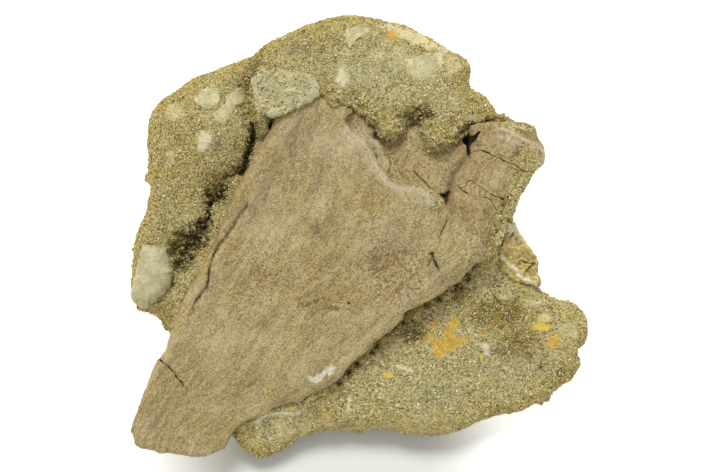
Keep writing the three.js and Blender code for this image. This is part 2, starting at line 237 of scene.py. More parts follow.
JOINED_STEPS = 40  # for each point that a curve is drawn through


def joined(*curves):
    """Several curves end to end, with the corners between them kept."""
    return np.vstack([spline(points, JOINED_STEPS * len(points)) for points in curves])


def nearest(a, b, line):
    """The distance of each place from a polyline, signed: positive on the left of its direction, and how
    far along it the nearest point is, from 0 to 1."""
    best = np.full(np.shape(a), np.inf)
    side = np.ones(np.shape(a))
    share = np.zeros(np.shape(a))
    for i, (start, step) in enumerate(zip(line[:-1], np.diff(line, axis=0))):
        da, db = a - start[0], b - start[1]
        t = np.clip((da * step[0] + db * step[1]) / (step @ step), 0, 1)
        away = (da - t * step[0]) ** 2 + (db - t * step[1]) ** 2
        closer = away < best
        best = np.where(closer, away, best)
        side = np.where(closer, np.where(step[0] * db > step[1] * da, 1.0, -1.0), side)
        share = np.where(closer, (i + t) / (len(line) - 1), share)
    return np.sqrt(best) * side, share


def inside(a, b, loop):
    """How far each place is inside a closed loop; negative outside it."""
    ring = np.vstack([loop, loop[:1]])
    away = np.abs(nearest(a, b, ring)[0])
    covered = np.zeros(np.shape(a), bool)
    for (a0, b0), (a1, b1) in zip(ring[:-1], ring[1:]):
        if b0 != b1:
            covered ^= ((b0 > b) != (b1 > b)) & (a < a0 + (b - b0) * (a1 - a0) / (b1 - b0))
    return np.where(covered, away, -away)


def ease(low, high, x):
    """A smooth step from 0 at low to 1 at high."""
    t = np.clip((x - low) / (high - low), 0, 1)
    return t * t * (3 - 2 * t)


def turned(a, b, middle, turn):
    """Where each place is from the middle, along two axes turned in the face."""
    da, db = a - middle[0], b - middle[1]
    return da * math.cos(turn) + db * math.sin(turn), db * math.cos(turn) - da * math.sin(turn)


def hummock(a, b, middle, reach, turn=0.0):
    """A Gaussian bump, one high, of two reaches, turned in the face."""
    x, y = turned(a, b, middle, turn)
    return np.exp(-((x / reach[0]) ** 2) - (y / reach[1]) ** 2)


def heaped(a, b, mounds):
    """A sum of Gaussian bumps, each given by its height, middle and reach, and its turn if it has one."""
    return sum(height * hummock(a, b, *where) for height, *where in mounds)


def band(x, width):
    """A Gaussian stripe: one where x is 0, and less the larger x is beside the width."""
    return np.exp(-((x / width) ** 2))


def distance_from(a, b, points, count):
    """The signed distance of each place from the curve through some points."""
    return nearest(a, b, spline(points, count))[0]


def within(a, b, points, count):
    """How far each place is inside the closed curve through some points; negative outside it."""
    return inside(a, b, spline(points, count, closed=True))


# ---- Noise ----
DICE = np.random.default_rng(41)
SHUFFLED = np.tile(DICE.permutation(256), 2)
SLOPES = DICE.normal(size=(256, 3))
SLOPES /= np.linalg.norm(SLOPES, axis=1, keepdims=True)
SPOTS = DICE.uniform(0.1, 0.9, size=(256, 3))


def numbered(cell):
    """A number from 0 to 255 for each cell of whole-number place, shuffled three times."""
    x, y, z = (cell[..., axis] & 255 for axis in range(3))
    return SHUFFLED[SHUFFLED[SHUFFLED[x] + y] + z]


def noise(points, size, seed):
    """Perlin noise of that lump size, about -1 to 1: each cell corner's random slope, blended by
    6t^5 - 15t^4 + 10t^3."""
    place = points / size + 37.7 * seed + 0.31
    cell = np.floor(place).astype(int)
    part = place - cell
    blend = part**3 * (part * (6 * part - 15) + 10)
    total = 0
    for corner in product((0, 1), repeat=3):
        share = np.prod(np.where(corner, blend, 1 - blend), axis=-1)
        total = total + share * np.einsum("...i,...i", SLOPES[numbered(cell + corner)], part - corner)
    return 1.7 * total


def rough(points, size, octaves, seed):
    """Noise, with half as much at half the size, and so on."""
    return sum(noise(points, np.asarray(size) / 2**k, seed + k) / 2**k for k in range(octaves))


def billows(points, size, octaves, seed):
    """Round lumps with sharp creases between them, about -1 to 0.5: the noise's size without its sign."""
    return sum((0.5 - 2 * np.abs(noise(points, size / 2**k, seed + k))) / 2**k for k in range(octaves))


def facets(points, size, seed):
    """Flat breaks that lean at random: the space is split among scattered points, and each share has a
    plane of its own, levelled towards the creases between the shares."""
    place = points / size + 19.3 * seed
    cell = np.floor(place).astype(int)
    first = np.full(place.shape[:-1], np.inf)
    second = first.copy()
    plane = np.zeros(first.shape)
    for step in product((-1, 0, 1), repeat=3):
        owner = cell + step
        number = numbered(owner)
        away = place - owner - SPOTS[number]
        distance = np.linalg.norm(away, axis=-1)
        closer = distance < first
        second = np.where(closer, first, np.minimum(second, distance))
        plane = np.where(closer, np.einsum("...i,...i", away, SLOPES[(number + 91) % 256]), plane)
        first = np.minimum(first, distance)
    return plane * ease(0, 0.25, second - first)


def at(a, b, c=0.0):
    """Places in the face's frame as one array of points."""
    return np.stack(np.broadcast_arrays(a, b, c), axis=-1).astype(float)


def lifted(plan, c=0.0):
    """Places of a plan, raised to the height c."""
    return at(plan[..., 0], plan[..., 1], c)


def shrunk(loop, middle, share):
    """A loop drawn in towards the middle, to each share of its size in turn."""
    return middle + (loop - middle) * share[..., None]


def wandering(line, amount, size, octaves, seeds=(5, 6)):
    """A line with small kinks: each of its points is moved by noise of that size."""
    place = lifted(line)
    return line + amount * np.column_stack([rough(place, size, octaves, seed) for seed in seeds])


def blots(a, b, spots, ragged, seed):
    """Elliptical patches with ragged rims, from 0 outside to 1 inside."""
    place = at(a, b)
    fray = ragged * (noise(place, 2.6, seed) + 0.6 * noise(place, 1.1, seed + 1))
    found = np.zeros(np.shape(a))
    for *middle, half_a, half_b, turn in spots:
        x, y = turned(a, b, middle, turn)
        found = np.maximum(found, ease(1.15, 0.8, np.hypot(x / half_a, y / half_b) + fray))
    return found


# ---- The bone's upper surface ----
BONE_LEVEL = 5.5  # of the blade's upper side
BONE_UNDER = -8.5  # of the underside
STRUT_RISE = 5.4  # of its ridge over the blade, beside the step at its foot
FOOT_STEP = 3.2
BOWL_STEPS = (1.1, 2.8, 2.2)  # the drop at the lip, the one beyond the shelf, and the slope to the middle
CRACKS = [  # path, depth, half width
    ([(34.3, 6.5), (31.1, -0.4), (30.4, -4), (28.4, -6.3)], 1.0, 0.2),
    ([(28.4, -6.3), (29.5, -10), (31.6, -14.3)], 1.8, 0.4),
    ([(28.4, -7), (27.4, -10), (25.2, -13.2)], 0.8, 0.22),
    ([(18, -22.8), (19.4, -24.2), (21.2, -26.4)], 0.7, 0.22),
    ([(21.2, 26.4), (25.6, 21.6), (28.4, 18.8), (30.4, 16.8)], 0.8, 0.26),
    ([(34.3, 30.5), (35.8, 26.8), (35.2, 24.4)], 0.5, 0.26),
    ([(42.8, 32), (44.8, 30), (46, 28)], 0.8, 0.26),
    ([(-81.2, -48.4), (-76.4, -52), (-73.2, -56), (-70.8, -59.6)], 2.2, 0.36),
    ([(5, 35.2), (6.2, 32), (7.4, 28.8), (8.6, 26.8)], 1.1, 0.34),
    ([(43, 1.5), (47, -0.5), (50.5, -3)], 0.4, 0.26), ([(-12, -25.6), (-8, -26.6), (-4.5, -26)], 0.5, 0.3),
    ([(-25, -28.6), (-20, -27), (-15, -24.4)], 0.6, 0.55),
    ([(-14, -26.6), (-10.7, -29.2), (-6.6, -28)], 0.4, 0.24),
    ([(52.6, 40.4), (54.8, 37), (55.4, 33)], 0.35, 0.2),
]
PITS = [  # middle, radius, depth
    ((28.3, -6.6), 0.7, 2.4), ((-4.9, -26.3), 0.55, 1.5), ((-58.4, -35.2), 0.45, 0.6),
    ((-55.2, -48), 0.45, 0.6), ((-49.6, -53.2), 0.45, 0.6), ((6.2, 40.6), 1.2, 2.5),
]
HOLES = [  # outline, depth
    ([(31, 17.4), (33.2, 17.6), (35.4, 18.8), (35.2, 16), (33.8, 12.8), (32.8, 15)], 5.5),
    ([
        (40.4, 38.2), (42, 42), (44.2, 40.4), (47.2, 42), (45.6, 38.2), (43.6, 36), (43.6, 32.6), (42, 32.2),
        (42, 36),
    ], 6),
]
# Hollows with sand in them, and all the sand that still sticks to the bone: middle, half sizes, turn.
SANDY_DIPS = [(-20.3, -26.6, 6.4, 0.85, 0.37), (-10.7, -28.5, 2.4, 1.1, -0.1)]
SANDY = [
    (66.6, 30.8, 4.6, 4.8, 0.2), (61.6, 26.4, 2.4, 1.2, -0.4), (28.6, 17.6, 2.4, 1.4, -0.5),
    (31, 13.6, 1.8, 2, 0.6), (29.6, 10.4, 1.4, 1.6, 0), (-36.8, -61.6, 3.2, 2.4, 0),
    (62.5, 43.6, 8, 1.3, -0.12), (59.8, 19.5, 0.9, 4.6, -0.31), (56, 11.2, 0.8, 4, -0.45),
    (53, 4.4, 0.8, 4, -0.2), *SANDY_DIPS,
]
CRYSTALS = [(-12.6, -53.2, 2.8, 1.6, 0.5), (-17.6, -56.4, 3, 1.4, 0.5)]
TROUGH = [(-24, 43), (-31, 30), (-36.4, 18.8), (-43, 6)]
LOW_RIDGE = [(5, 1.2), (-4, -7), (-12.4, -15.2), (-20, -20)]


def bone_relief(a, b):
    """The bone's height: a level blade with a trough and a low ridge, the strut's ridge and its steep foot,
    less the bowl, which drops in two steps from the lip."""
    place = at(a, b)
    crest = distance_from(a, b, STRUT_CREST, 60)
    foot = distance_from(a, b, STRUT_FOOT, 60)
    in_bowl = within(a, b, BOWL, 150) + 0.9 * rough(place, 2.8, 2, 7)
    lip, along_lip = nearest(a, b, spline(LIP, 60))
    shelf = 3.6 * ease(0.1, 0.25, along_lip) * ease(0.58, 0.45, along_lip)
    bowl = BOWL_STEPS[0] * ease(-0.2, 0.6, in_bowl) + BOWL_STEPS[1] * ease(shelf, shelf + 1.6, in_bowl)
    bowl = bowl + BOWL_STEPS[2] * ease(3, 12, in_bowl)
    rim = 0.6 * band(lip + 1.1, 1.7) * ease(0, 0.1, along_lip) * ease(1, 0.9, along_lip)
    on_strut = ease(-0.6, 2.2, foot) * ease(-2, 16, b)
    strut = STRUT_RISE * band(crest, 9) * ease(-48, -5, b) + FOOT_STEP * on_strut
    strut = strut + on_strut * (1.4 * facets(place, 11, 5) - 1.5 * ease(66, 73, a))
    behind = distance_from(a, b, END_CREST, 30)
    strut = strut + ease(46, 52, a) * (1.3 * band(behind, 1.3) - 0.65 * np.clip(behind, 0, 8))
    strut = strut + ease(44, 54, a) * ease(20, 28, b) * (2.4 * facets(place, 7.5, 8) + facets(place, 3.2, 9))
    trough = band(distance_from(a, b, TROUGH, 30), 5)
    ridge = band(distance_from(a, b, LOW_RIDGE, 30), 1.5)
    swell = 0.6 * noise(place, 24, 3) + 0.3 * noise(place, 9, 4)
    swell = swell + (0.1 + 0.25 * ease(0, 2, in_bowl)) * noise(place, 3.4, 8)
    return BONE_LEVEL + strut - bowl + rim - 2 * ease(-40, -85, b) + swell - 0.8 * trough + 0.4 * ridge


def jagged(path, count=40):
    """A crack's line: a curve with small kinks."""
    return wandering(spline(path, count), 0.4, 2.4, 2)


def bone_damage(a, b):
    """The depth that the cracks, the groove along the left edge, the pits, the holes and the sandy hollows
    take from the bone's surface: the deepest one at each place."""
    place = at(a, b)
    frayed_a, frayed_b = a + 0.6 * noise(place, 1.8, 5), b + 0.6 * noise(place, 1.8, 6)
    broken = 0.3 + 0.7 * ease(-0.45, 0.15, noise(place, 3.2, 9))
    depths = [0.6 * blots(a, b, SANDY_DIPS, 0.5, 53)]
    for path, deep, width in CRACKS:
        away, share = nearest(a, b, jagged(path))
        depths.append(deep * broken * (0.35 + 0.65 * ease(1, 0.6, share)) * band(away, width))
    for middle, radius, deep in PITS:
        depths.append(deep * hummock(frayed_a, frayed_b, middle, (radius, radius)))
    for outline, deep in HOLES:
        depths.append(deep * ease(-0.2, 1.3, within(a, b, outline, 60) + 0.3 * noise(place, 1.4, 56)))
    away, share = nearest(a, b, jagged(EDGE_GROOVE, 70))
    open_part = ease(0.2, 0.45, share) * ease(1, 0.8, share)
    depths.append((0.3 + 1.3 * open_part * broken) * band(away, 0.2) * ease(0, 0.1, share))
    depths.append(0.7 * band(away, 1.3) * ease(1, 0.85, share))
    return np.maximum.reduce(depths)


# ---- The rock's face ----
ROCK_LEVEL = -5.0  # of the face beside the bone
CROWN_RISE = 13.0  # of the crown above that
HOLLOW_FLOOR = 12.0  # the depth that the hollow's dents can't pass
RIM_ROUND = 8.0  # the radius of the face's rim
SOCKET_LEVEL = BONE_UNDER - 0.5
BROW_MOUNDS = [(12.5, (-66, 44), (17, 22)), (6, (-85, 12), (9, 18))]  # height, middle, reach, turn
FACE_MOUNDS = [
    (0.4, (31, 40), (8, 7)), (0.2, (10, 43), (6, 5)), (-7, (21.5, 48), (6, 3.4)), (-2.2, (44, 50), (4, 6)),
    (3, (28, -62), (36, 14)), (15.5, (64.5, 24), (8, 13)), (4, (59, 6), (5, 9)), (6, (60.5, 12), (6, 9)),
    (6.5, (56.8, 5), (3.2, 14), -0.31), (9.5, (54, -2.6), (3.4, 6.6), -0.31),
]


def hollow_depth(a, b):
    """How deep the hollow beside the bone is: a row of dents with ragged rims."""
    place = at(a, b)
    frayed_a, frayed_b = a + rough(place, 3.6, 2, 17), b + rough(place, 3.6, 2, 18)
    return HOLLOW_FLOOR * np.tanh(heaped(frayed_a, frayed_b, DENTS) / HOLLOW_FLOOR)


def rock_base(a, b):
    """The rock's broad shape: a level face beside the bone, the crown that covers the bone's top, the brow
    at the upper left, and the crevice and hollow between them and the bone. Its rim is rounded off."""
    above = distance_from(a, b, CROWN_EDGE, 200)
    cover = CROWN_RISE * (1 - 0.4 * hummock(a, b, (-5, 48), (9, 8)))
    cover = cover * ease(-1.6, 4.4, above) * ease(-46.5, -41, a) * (1 - 0.2 * ease(42, 50, a))
    under_pebble = 3 - 4 * (((a + 39.2) / 3) ** 2 + ((b - 45.5) / 4.6) ** 2)
    height = np.maximum(ROCK_LEVEL + heaped(a, b, BROW_MOUNDS) + cover, under_pebble)
    height = height + heaped(a, b, FACE_MOUNDS) - 0.12 * np.maximum(a - 45, 0) * ease(20, -5, b)
    crevice, along = nearest(a, b, spline(CREVICE, 60))
    height = height - 2.5 * band(crevice, 3.2) - 9 * band(crevice, 1.3) * ease(0.4, 0.7, along)
    beside = np.abs(distance_from(a, b, BONE_RIGHT, 110))
    lapped = ease(-8, -20, a)
    ditch = 1.2 * (1 - lapped) * band(beside, 1.8) * (1 + noise(at(a, b), 6, 20))
    height = height + (3.2 + 2.4 * lapped) * band(beside, 5) - ditch - hollow_depth(a, b)
    for middle_a, middle_b, reach in EDGE_PITS:
        height = height - 3 * hummock(a, b, (middle_a, middle_b), (reach, reach))
    flank = np.abs(distance_from(a, b, [*STRUT_MIDDLE_RIGHT, *BONE_RIGHT[:6]], 60))
    banked = ease(4.5, 1, flank) * ease(-12, -7, b) * ease(27, 25, b)
    height = height + np.maximum(bone_relief(a, b) - 0.5 - height, 0) * banked
    radius = RIM_ROUND - 5.5 * hummock(a, b, (65, 25), (9, 22)) - 3 * hummock(a, b, (60, -60), (30, 14))
    rim = np.clip(within(a, b, BLOCK_OUTLINE, 300), 0, radius)
    return height - radius + np.sqrt(radius**2 - (radius - rim) ** 2)


# ---- Meshes ----
def ring_faces(rows, count, start):
    """The quads between each ring of points and the next, for rings that run counterclockwise."""
    ring = start + np.arange(rows - 1)[:, None] * count
    i = np.arange(count)
    after = (i + 1) % count
    corners = [ring + i, ring + count + i, ring + count + after, ring + after]
    return np.stack(corners, axis=-1).reshape(-1, 4)


def fan(pole, ring, last=False):
    """The triangles that close a ring at a pole."""
    after = np.roll(ring, -1)
    corners = [ring, np.full_like(ring, pole), after] if last else [np.full_like(ring, pole), ring, after]
    return np.stack(corners, axis=-1)


def ring_body(first, rings, last):
    """A closed body: rings of points from a pole on top to a pole underneath."""
    rows, count = rings.shape[:2]
    points = np.vstack([[first], rings.reshape(-1, 3), [last]])
    ring = 1 + np.arange(count)
    faces = [
        fan(0, ring),
        ring_faces(rows, count, 1),
        fan(len(points) - 1, ring + (rows - 1) * count, last=True),
    ]
    return points, faces


def outward(rings):
    """The unit normals of a surface of rings: across each ring, square to the way along it."""
    down = np.gradient(rings, axis=0)
    return unit(np.cross(down, np.roll(rings, -1, axis=1) - np.roll(rings, 1, axis=1)))


def make_piece(name, points, faces, materials, layers, node, picked=None):
    """One object of the fossil, from points in the face's frame, with its masks as attributes. A stone is
    smooth; grains, whose materials are picked face by face, are not."""
    world = np.clip(FACE_MIDDLE + points @ FACE_AXES * MM, LOW, HIGH)
    corners = np.concatenate([f.ravel() for f in faces])
    counts = np.concatenate([np.full(len(f), f.shape[1]) for f in faces])
    mesh = bpy.data.meshes.new(name)
    mesh.vertices.add(len(world))
    mesh.vertices.foreach_set("co", world.ravel())
    mesh.loops.add(len(corners))
    mesh.loops.foreach_set("vertex_index", corners.astype(np.int32))
    mesh.polygons.add(len(counts))
    mesh.polygons.foreach_set("loop_start", (np.cumsum(counts) - counts).astype(np.int32))
    mesh.polygons.foreach_set("use_smooth", np.full(len(counts), picked is None))
    mesh.update(calc_edges=True)
    mesh.validate()
    for layer, values in layers.items():
        single = values.ndim == 1
        attribute = mesh.attributes.new(layer, "FLOAT" if single else "FLOAT_VECTOR", "POINT")
        attribute.data.foreach_set("value" if single else "vector", values.astype(np.float32).ravel())
    for material in materials:
        mesh.materials.append(material)
    if picked is not None:
        mesh.polygons.foreach_set("material_index", picked.astype(np.int32))
    piece = bpy.data.objects.new(name, mesh)
    bpy.context.scene.collection.objects.link(piece)
    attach(piece, "root")
    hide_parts(node)


# ---- The block of sandstone ----
SPOKES = 720
SOCKET_RINGS = 8
FACE_RINGS = 84
SIDE_RINGS = 30
BASE_RINGS = 5
BASE_SHARE = 0.8  # the flat break's size beside the face's
BASE_SHIFT = -7.0  # how far the sides slide down the face
BASE_RECESS = 0.8  # how far the flat break is raised inside its edge
SOCKET_LAP = 0.35  # how far inside the bone's outline the socket's floor stops
SAND_LAP = 1.4  # how far the sand comes over the bone's edge beside the strut
LEAST_RIM = 2.5  # the narrowest strip of rock between the bone and the rim
PEBBLE_SEAT = -6.0  # the rock's height under the pebbles
FLAKE_SEAT = -20.6  # and under the flaky stone
CHIPS = {  # node, outline
    "chip_crown": ("clay_chip_crown", [
        (17.2, 70), (18.6, 65), (22, 62.4), (27, 62.8), (30.2, 65.2), (33.4, 68.8), (32.6, 73.4),
        (23.6, 72.4),
    ]),
    "chip_ridge": ("clay_chip_ridge", [
        (-5.6, 82.6), (-6.2, 77), (-4.4, 75.4), (-1.8, 78.4), (2, 80), (3.6, 82.6), (-0.4, 83.8),
    ]),
    "chip_brow_round": ("clay_chip_brow_round", [
        (-66.4, 55.2), (-65.8, 53.2), (-62.7, 51.4), (-58.6, 51.8), (-56.4, 54.8), (-56.6, 58.7),
        (-60.2, 59.8), (-64, 58),
    ]),
    "chip_brow_long": ("clay_chip_brow_long", [
        (-53.2, 57.4), (-55.2, 52.8), (-59, 49), (-57, 45.4), (-51.6, 47.2), (-50.6, 51.6), (-46.6, 55),
        (-47.4, 60),
    ]),
}
# Spots of colour in the rock's face: middle, half sizes, turn.
BRIGHT_SPOTS = [(-62.8, 38.1, 3.3, 4.2, 0), (-7.6, 63.6, 2.6, 3.8, 0)]
STAINED_SPOT = (73.4, -32.4, 3.6, 1.8, 0.3)
PALE_SPOTS = [
    *BRIGHT_SPOTS, (21, 79.4, 13, 2.5, -0.37), (-5.8, 77, 1.2, 2.4, -0.3), STAINED_SPOT,
    (-5, -67, 0.7, 5, -0.15), (58.5, -12.8, 3.4, 1.6, -0.6),
]
FAINT_SPOTS = [
    (-74.2, 49.3, 3.7, 3.6, 0), (-76, 32.2, 2.1, 3.4, 0), (36.4, 68.8, 3.4, 3.8, 0),
    (70.4, -26, 3.6, 1.8, 0), (84, -37.6, 4.2, 3.0, -0.5), (47.2, -43.4, 1.6, 1.3, 0),
    (-71.2, 8, 2, 1.4, 0),
]
WHITE_LINES = [  # path, half width
    ([(-42, -74.4), (-39.6, -72.2), (-35.6, -70.9), (-31.6, -70.5), (-28.4, -70.8), (-24.8, -70.4)], 0.75),
    ([(14.6, -52), (17, -52.5), (20, -53.4)], 0.8), ([(50, -44), (50.6, -46)], 1.4),
]
IRON_SHAPE = [
    (28.4, -41.2), (30, -40), (32, -40.4), (33.2, -37.6), (34.4, -34.8), (36, -32.4), (37.6, -31.2),
    (39.2, -32.4), (39.6, -34.8), (38.4, -37.2), (37.6, -39.2), (40.4, -40), (43.6, -39.6), (42.8, -41.6),
    (40, -44), (37.2, -45.6), (34.8, -47.2), (32, -48.4), (30.4, -48.8), (29.2, -46.8), (28.4, -44),
]
IRON_LINES = [
    ([(42.6, -40.2), (46.8, -38.6), (50.6, -38.4)], 0.7),
    ([(27.6, -40.4), (28.8, -36.6), (30.8, -34)], 0.8), ([(24.6, -43), (26.8, -39)], 0.4),
]
IRON_SPOTS = [
    (12.4, 79.8, 2.6, 1.8, 0), (54.6, -32.4, 1.4, 1.8, 0), (63.4, -30, 1.5, 1.8, 0),
    (77.2, -41.6, 3.6, 3.2, 0.4), (-15.2, -67.6, 0.9, 0.6, 0), (-11, -69.8, 0.7, 0.5, 0),
    (2, -60, 0.7, 0.7, 0), (-41.6, -81.6, 1.1, 0.7, 0),
]
YELLOW_SPOTS = [
    (72.6, -36, 4.6, 1.7, -0.12), (82, -32, 1, 0.9, 0), (48, -48, 1.2, 1.1, 0), (11.2, -55.2, 2.2, 1, 0),
    (-28.8, -69.2, 2.4, 0.7, 0.1),
]
GREY_SPOTS = [
    (-81, 18.6, 2.8, 6.5, 0), (-72, 7, 2, 1.8, 0), (-25, 74.5, 8, 2.6, 0.15), (80, -54.2, 2.8, 1.7, 0.2),
    (2, 66, 14, 7, 0), (60, -52, 14, 8, 0), (30, -62, 12, 6, 0), (-58, 36, 6, 5, 0),
]
PALER_MOUNDS = [  # strength, middle, reach
    (1.1, (14, 71), (22, 13)), (0.8, (-34, -77), (15, 8)), (0.7, (-56, 47), (10, 8)),
    (0.9, (10, -78), (50, 6)),
]
# Painted shade in the caves under the crown's edge: strength, middle, reach.
CAVE_SHADE = [(8.5, (24, 48.6), (7.6, 3.8)), (4, (44, 40.5), (2.4, 2.6)), (6.5, (55, 46), (6, 1.8))]
# Partly the rock's own darker colour, partly painted shade beside the bone's right edge and in the hollow.
DARK_AND_SHADED_PATCHES = [  # darker, olive patches: middle, reach, strength
    ((-70.4, -8), (4.2, 6.4), 0.95),
    ((20.6, -38.4), (5.5, 6), 0.85), ((40.5, -22.5), (7, 5), 0.44), ((34, -29), (22, 6), 0.08),
    ((56, -31), (16, 8), 0.5), ((64, -42), (9, 8), 0.4), ((-58, 20), (7, 9), 0.4),
    ((81, -54.8), (3.4, 2), 0.85), ((60, -46), (11, 1.6), 0.45), ((-80, -16), (8, 4), 0.2),
]


def lined(a, b, lines, seed=9):
    """Stripes of the given half widths along open curves, from 0 outside to 1 inside."""
    fray = 0.25 * noise(at(a, b), 1.6, seed)
    found = np.zeros(np.shape(a))
    for path, half in lines:
        away = np.abs(distance_from(a, b, path, 24))
        found = np.maximum(found, ease(half + 0.25, half - 0.25, away + fray))
    return found


def chip_loop(outline, count=120):
    """A stone's outline, with an uneven rim."""
    return wandering(spline(outline, count, closed=True), 0.5, 2.2, 3)


def farthest_crossing(directions, loop):
    """How far from the block's centre each direction last crosses a closed loop."""
    start = loop - BLOCK_CENTRE
    step = np.roll(start, -1, axis=0) - start
    da, db = directions[:, :1], directions[:, 1:]
    across = da * step[:, 1] - db * step[:, 0]
    across = np.where(np.abs(across) < 1e-9, 1e-9, across)
    reach = (start[:, 0] * step[:, 1] - start[:, 1] * step[:, 0]) / across
    share = (start[:, 0] * db - start[:, 1] * da) / across
    hit = (share >= 0) & (share <= 1) & (reach > 0)
    return np.where(hit, reach, 0).max(axis=1)


def shown_bone():
    """The loop where the bone comes out of the rock: its long edges, its tip, and the crown's lower edge.
    Beside the strut the sand laps over the bone's edge."""
    right = np.vstack([spline(BONE_RIGHT, 240)[::-1], spline(STRUT_MIDDLE_RIGHT, 40)[::-1]])
    right[:, 0] -= SAND_LAP * ease(-10, 0, right[:, 1])
    end = spline(STRUT_END_RIGHT, 40)[::-1]
    end[:, 1] += SAND_LAP * ease(73, 70, end[:, 0])
    left, tip, crown = spline(BONE_LEFT[1:], 200), spline(BONE_TIP, 60), spline(CONTACT, 200)[::-1]
    return np.vstack([left, tip, right, end, crown])


def ground_under(b):
    """The height, in the face's frame, of the ground under a point of the face."""
    return -(FACE_FROM_FOOTPRINT[2] + b * math.sin(FACE_TILT)) / math.cos(FACE_TILT)


def rock_rings():
    """The block's broad surface as rings: out from the bone to the rim, then down its sides, which draw in
    and slide down the face towards the flat break. Also how far down its side each point is, from 0 to 1,
    and for each spoke how far out the bone's edge is and the way that it points."""
    rim = spline(BLOCK_OUTLINE, SPOKES, closed=True)
    reach = np.linalg.norm(rim - BLOCK_CENTRE, axis=1)
    directions = (rim - BLOCK_CENTRE) / reach[:, None]
    edge = np.minimum(farthest_crossing(directions, shown_bone()), reach - LEAST_RIM)
    share = np.linspace(0, 1, FACE_RINGS)
    share = 0.55 * share + 0.45 * np.sin(share * math.pi / 2)
    radius = edge + (reach - edge) * share[:, None]
    plan = BLOCK_CENTRE + directions * radius[..., None]
    a, b = plan[..., 0], plan[..., 1]
    c = rock_base(a, b)
    for loop in (PEBBLE_LEFT, PEBBLE_TOP):
        c = c + (PEBBLE_SEAT - c) * ease(0.6, 2.2, within(a, b, loop, 90))
    c = c + (FLAKE_SEAT - c) * ease(0.1, 1.2, within(a, b, FLAKE, 90))
    down = np.linspace(0, 1, SIDE_RINGS + 1)[1:, None]
    side = shrunk(rim, BLOCK_CENTRE, 1 - (1 - BASE_SHARE) * down**1.8)
    side = side + np.array([0, BASE_SHIFT]) * down[..., None]
    side = lifted(side, c[-1] + (ground_under(side[..., 1]) - c[-1]) * down)
    depth = np.concatenate([np.zeros(FACE_RINGS), down[:, 0]])[:, None] * np.ones(SPOKES)
    return np.concatenate([lifted(plan, c), side]), depth, edge, directions


def rock_zones(a, b):
    """Where the face is crumbly: low on the crown, round the crevice and the hollow, and along the bone's
    right edge. Also how dark the face is painted: painted shade in the crevice, the hollow, the caves under
    the crown, the pits and the strip beside the bone's right edge, and the darker olive patches, partly the
    rock's own colour and partly painted shade, the darkest of them at each place."""
    above = distance_from(a, b, CROWN_EDGE, 200)
    crevice, along = nearest(a, b, spline(CREVICE, 60))
    crevice = np.abs(crevice)
    beside = np.abs(distance_from(a, b, BONE_RIGHT, 110))
    hollow = hollow_depth(a, b)
    crumbly = np.maximum.reduce([
        ease(15, 3, above) * ease(-2.5, -0.5, above) * ease(-42, -34, a),
        2 * ease(0.6, 3.5, hollow),
        0.8 * ease(6, 2, crevice),
        0.7 * ease(8, 2, beside),
    ])
    fray = 1.4 * noise(at(a, b), 2.4, 19)
    in_crevice = 0.75 - 0.35 * ease(0.15, 0.35, along) + 0.6 * ease(0.5, 0.7, along)
    # Painted shade: in the hollow, the crevice, the caves under the crown and the strip beside the bone's
    # right edge; then the pits, and the darker patches, partly own colour and partly painted shade.
    dark = [
        0.95 * ease(2.6, 6.4, hollow + fray + 1.3 * noise(at(a, b), 1.2, 29)),
        ease(1.9, 0.6, crevice + 0.4 * fray) * in_crevice,
        0.75 * ease(3.2, 7, heaped(a, b, CAVE_SHADE) + 1.6 * fray),
        0.3 * ease(2.4, 0.3, beside + 0.8 * fray) * ease(-16, -6, a) * ease(52, 45, a),
    ]
    for middle_a, middle_b, reach in EDGE_PITS:
        pit = hummock(a, b, (middle_a, middle_b), (reach, reach))
        dark.append(1.1 * ease(0.25, 0.7, pit + 0.12 * fray))
    for middle, reach, strength in DARK_AND_SHADED_PATCHES:
        dark.append(strength * ease(0.25, 0.9, hummock(a, b, middle, reach) + 0.2 * fray))
    return crumbly, np.maximum.reduce(dark)


def rock_push(settings, rings, depth):
    """How far the rock's surface is pushed out along its normals: lumps and grit on the face, crumbs where
    it is crumbly, broken facets down the sides, and a seat under each chip."""
    crumbly, _ = rock_zones(rings[..., 0], rings[..., 1])
    side = ease(0, 0.16, depth) * ease(1, 0.95, depth)
    face = ease(0.08, 0, depth)
    off_bone = ease(0, 6, np.arange(len(rings)))[:, None]
    lumps = (0.9 * rough(rings, 17, 2, 1) + 0.5 * facets(rings, 8, 10)) * off_bone
    grit = 0.3 * billows(rings, 5.2, 1, 11) + 0.22 * billows(rings, 2.6, 2, 12)
    crumbs = 1.3 * billows(rings, 4.4, 2, 13) + 1.2 * facets(rings, 2.8, 4) + 0.6 * billows(rings, 1.9, 1, 17)
    grit = grit + crumbly * face * (crumbs - 0.3) + 0.14 * noise(rings, 1.3, 14)
    broken = -1.3 + 5.5 * facets(rings, 21, 2) + 3.2 * facets(rings, 9, 3) + 1.5 * rough(rings, 5, 3, 16)
    push = settings.relief * (lumps + grit * (1 - 0.5 * side)) + settings.break_relief * side * broken
    loops = [chip_loop(outline)[::3] for _, outline in CHIPS.values()]
    under_chip = np.max([inside(rings[..., 0], rings[..., 1], loop) for loop in loops], axis=0) * face
    return np.where(depth >= 1, 0, push) - ease(0.2, 1.2, under_chip)


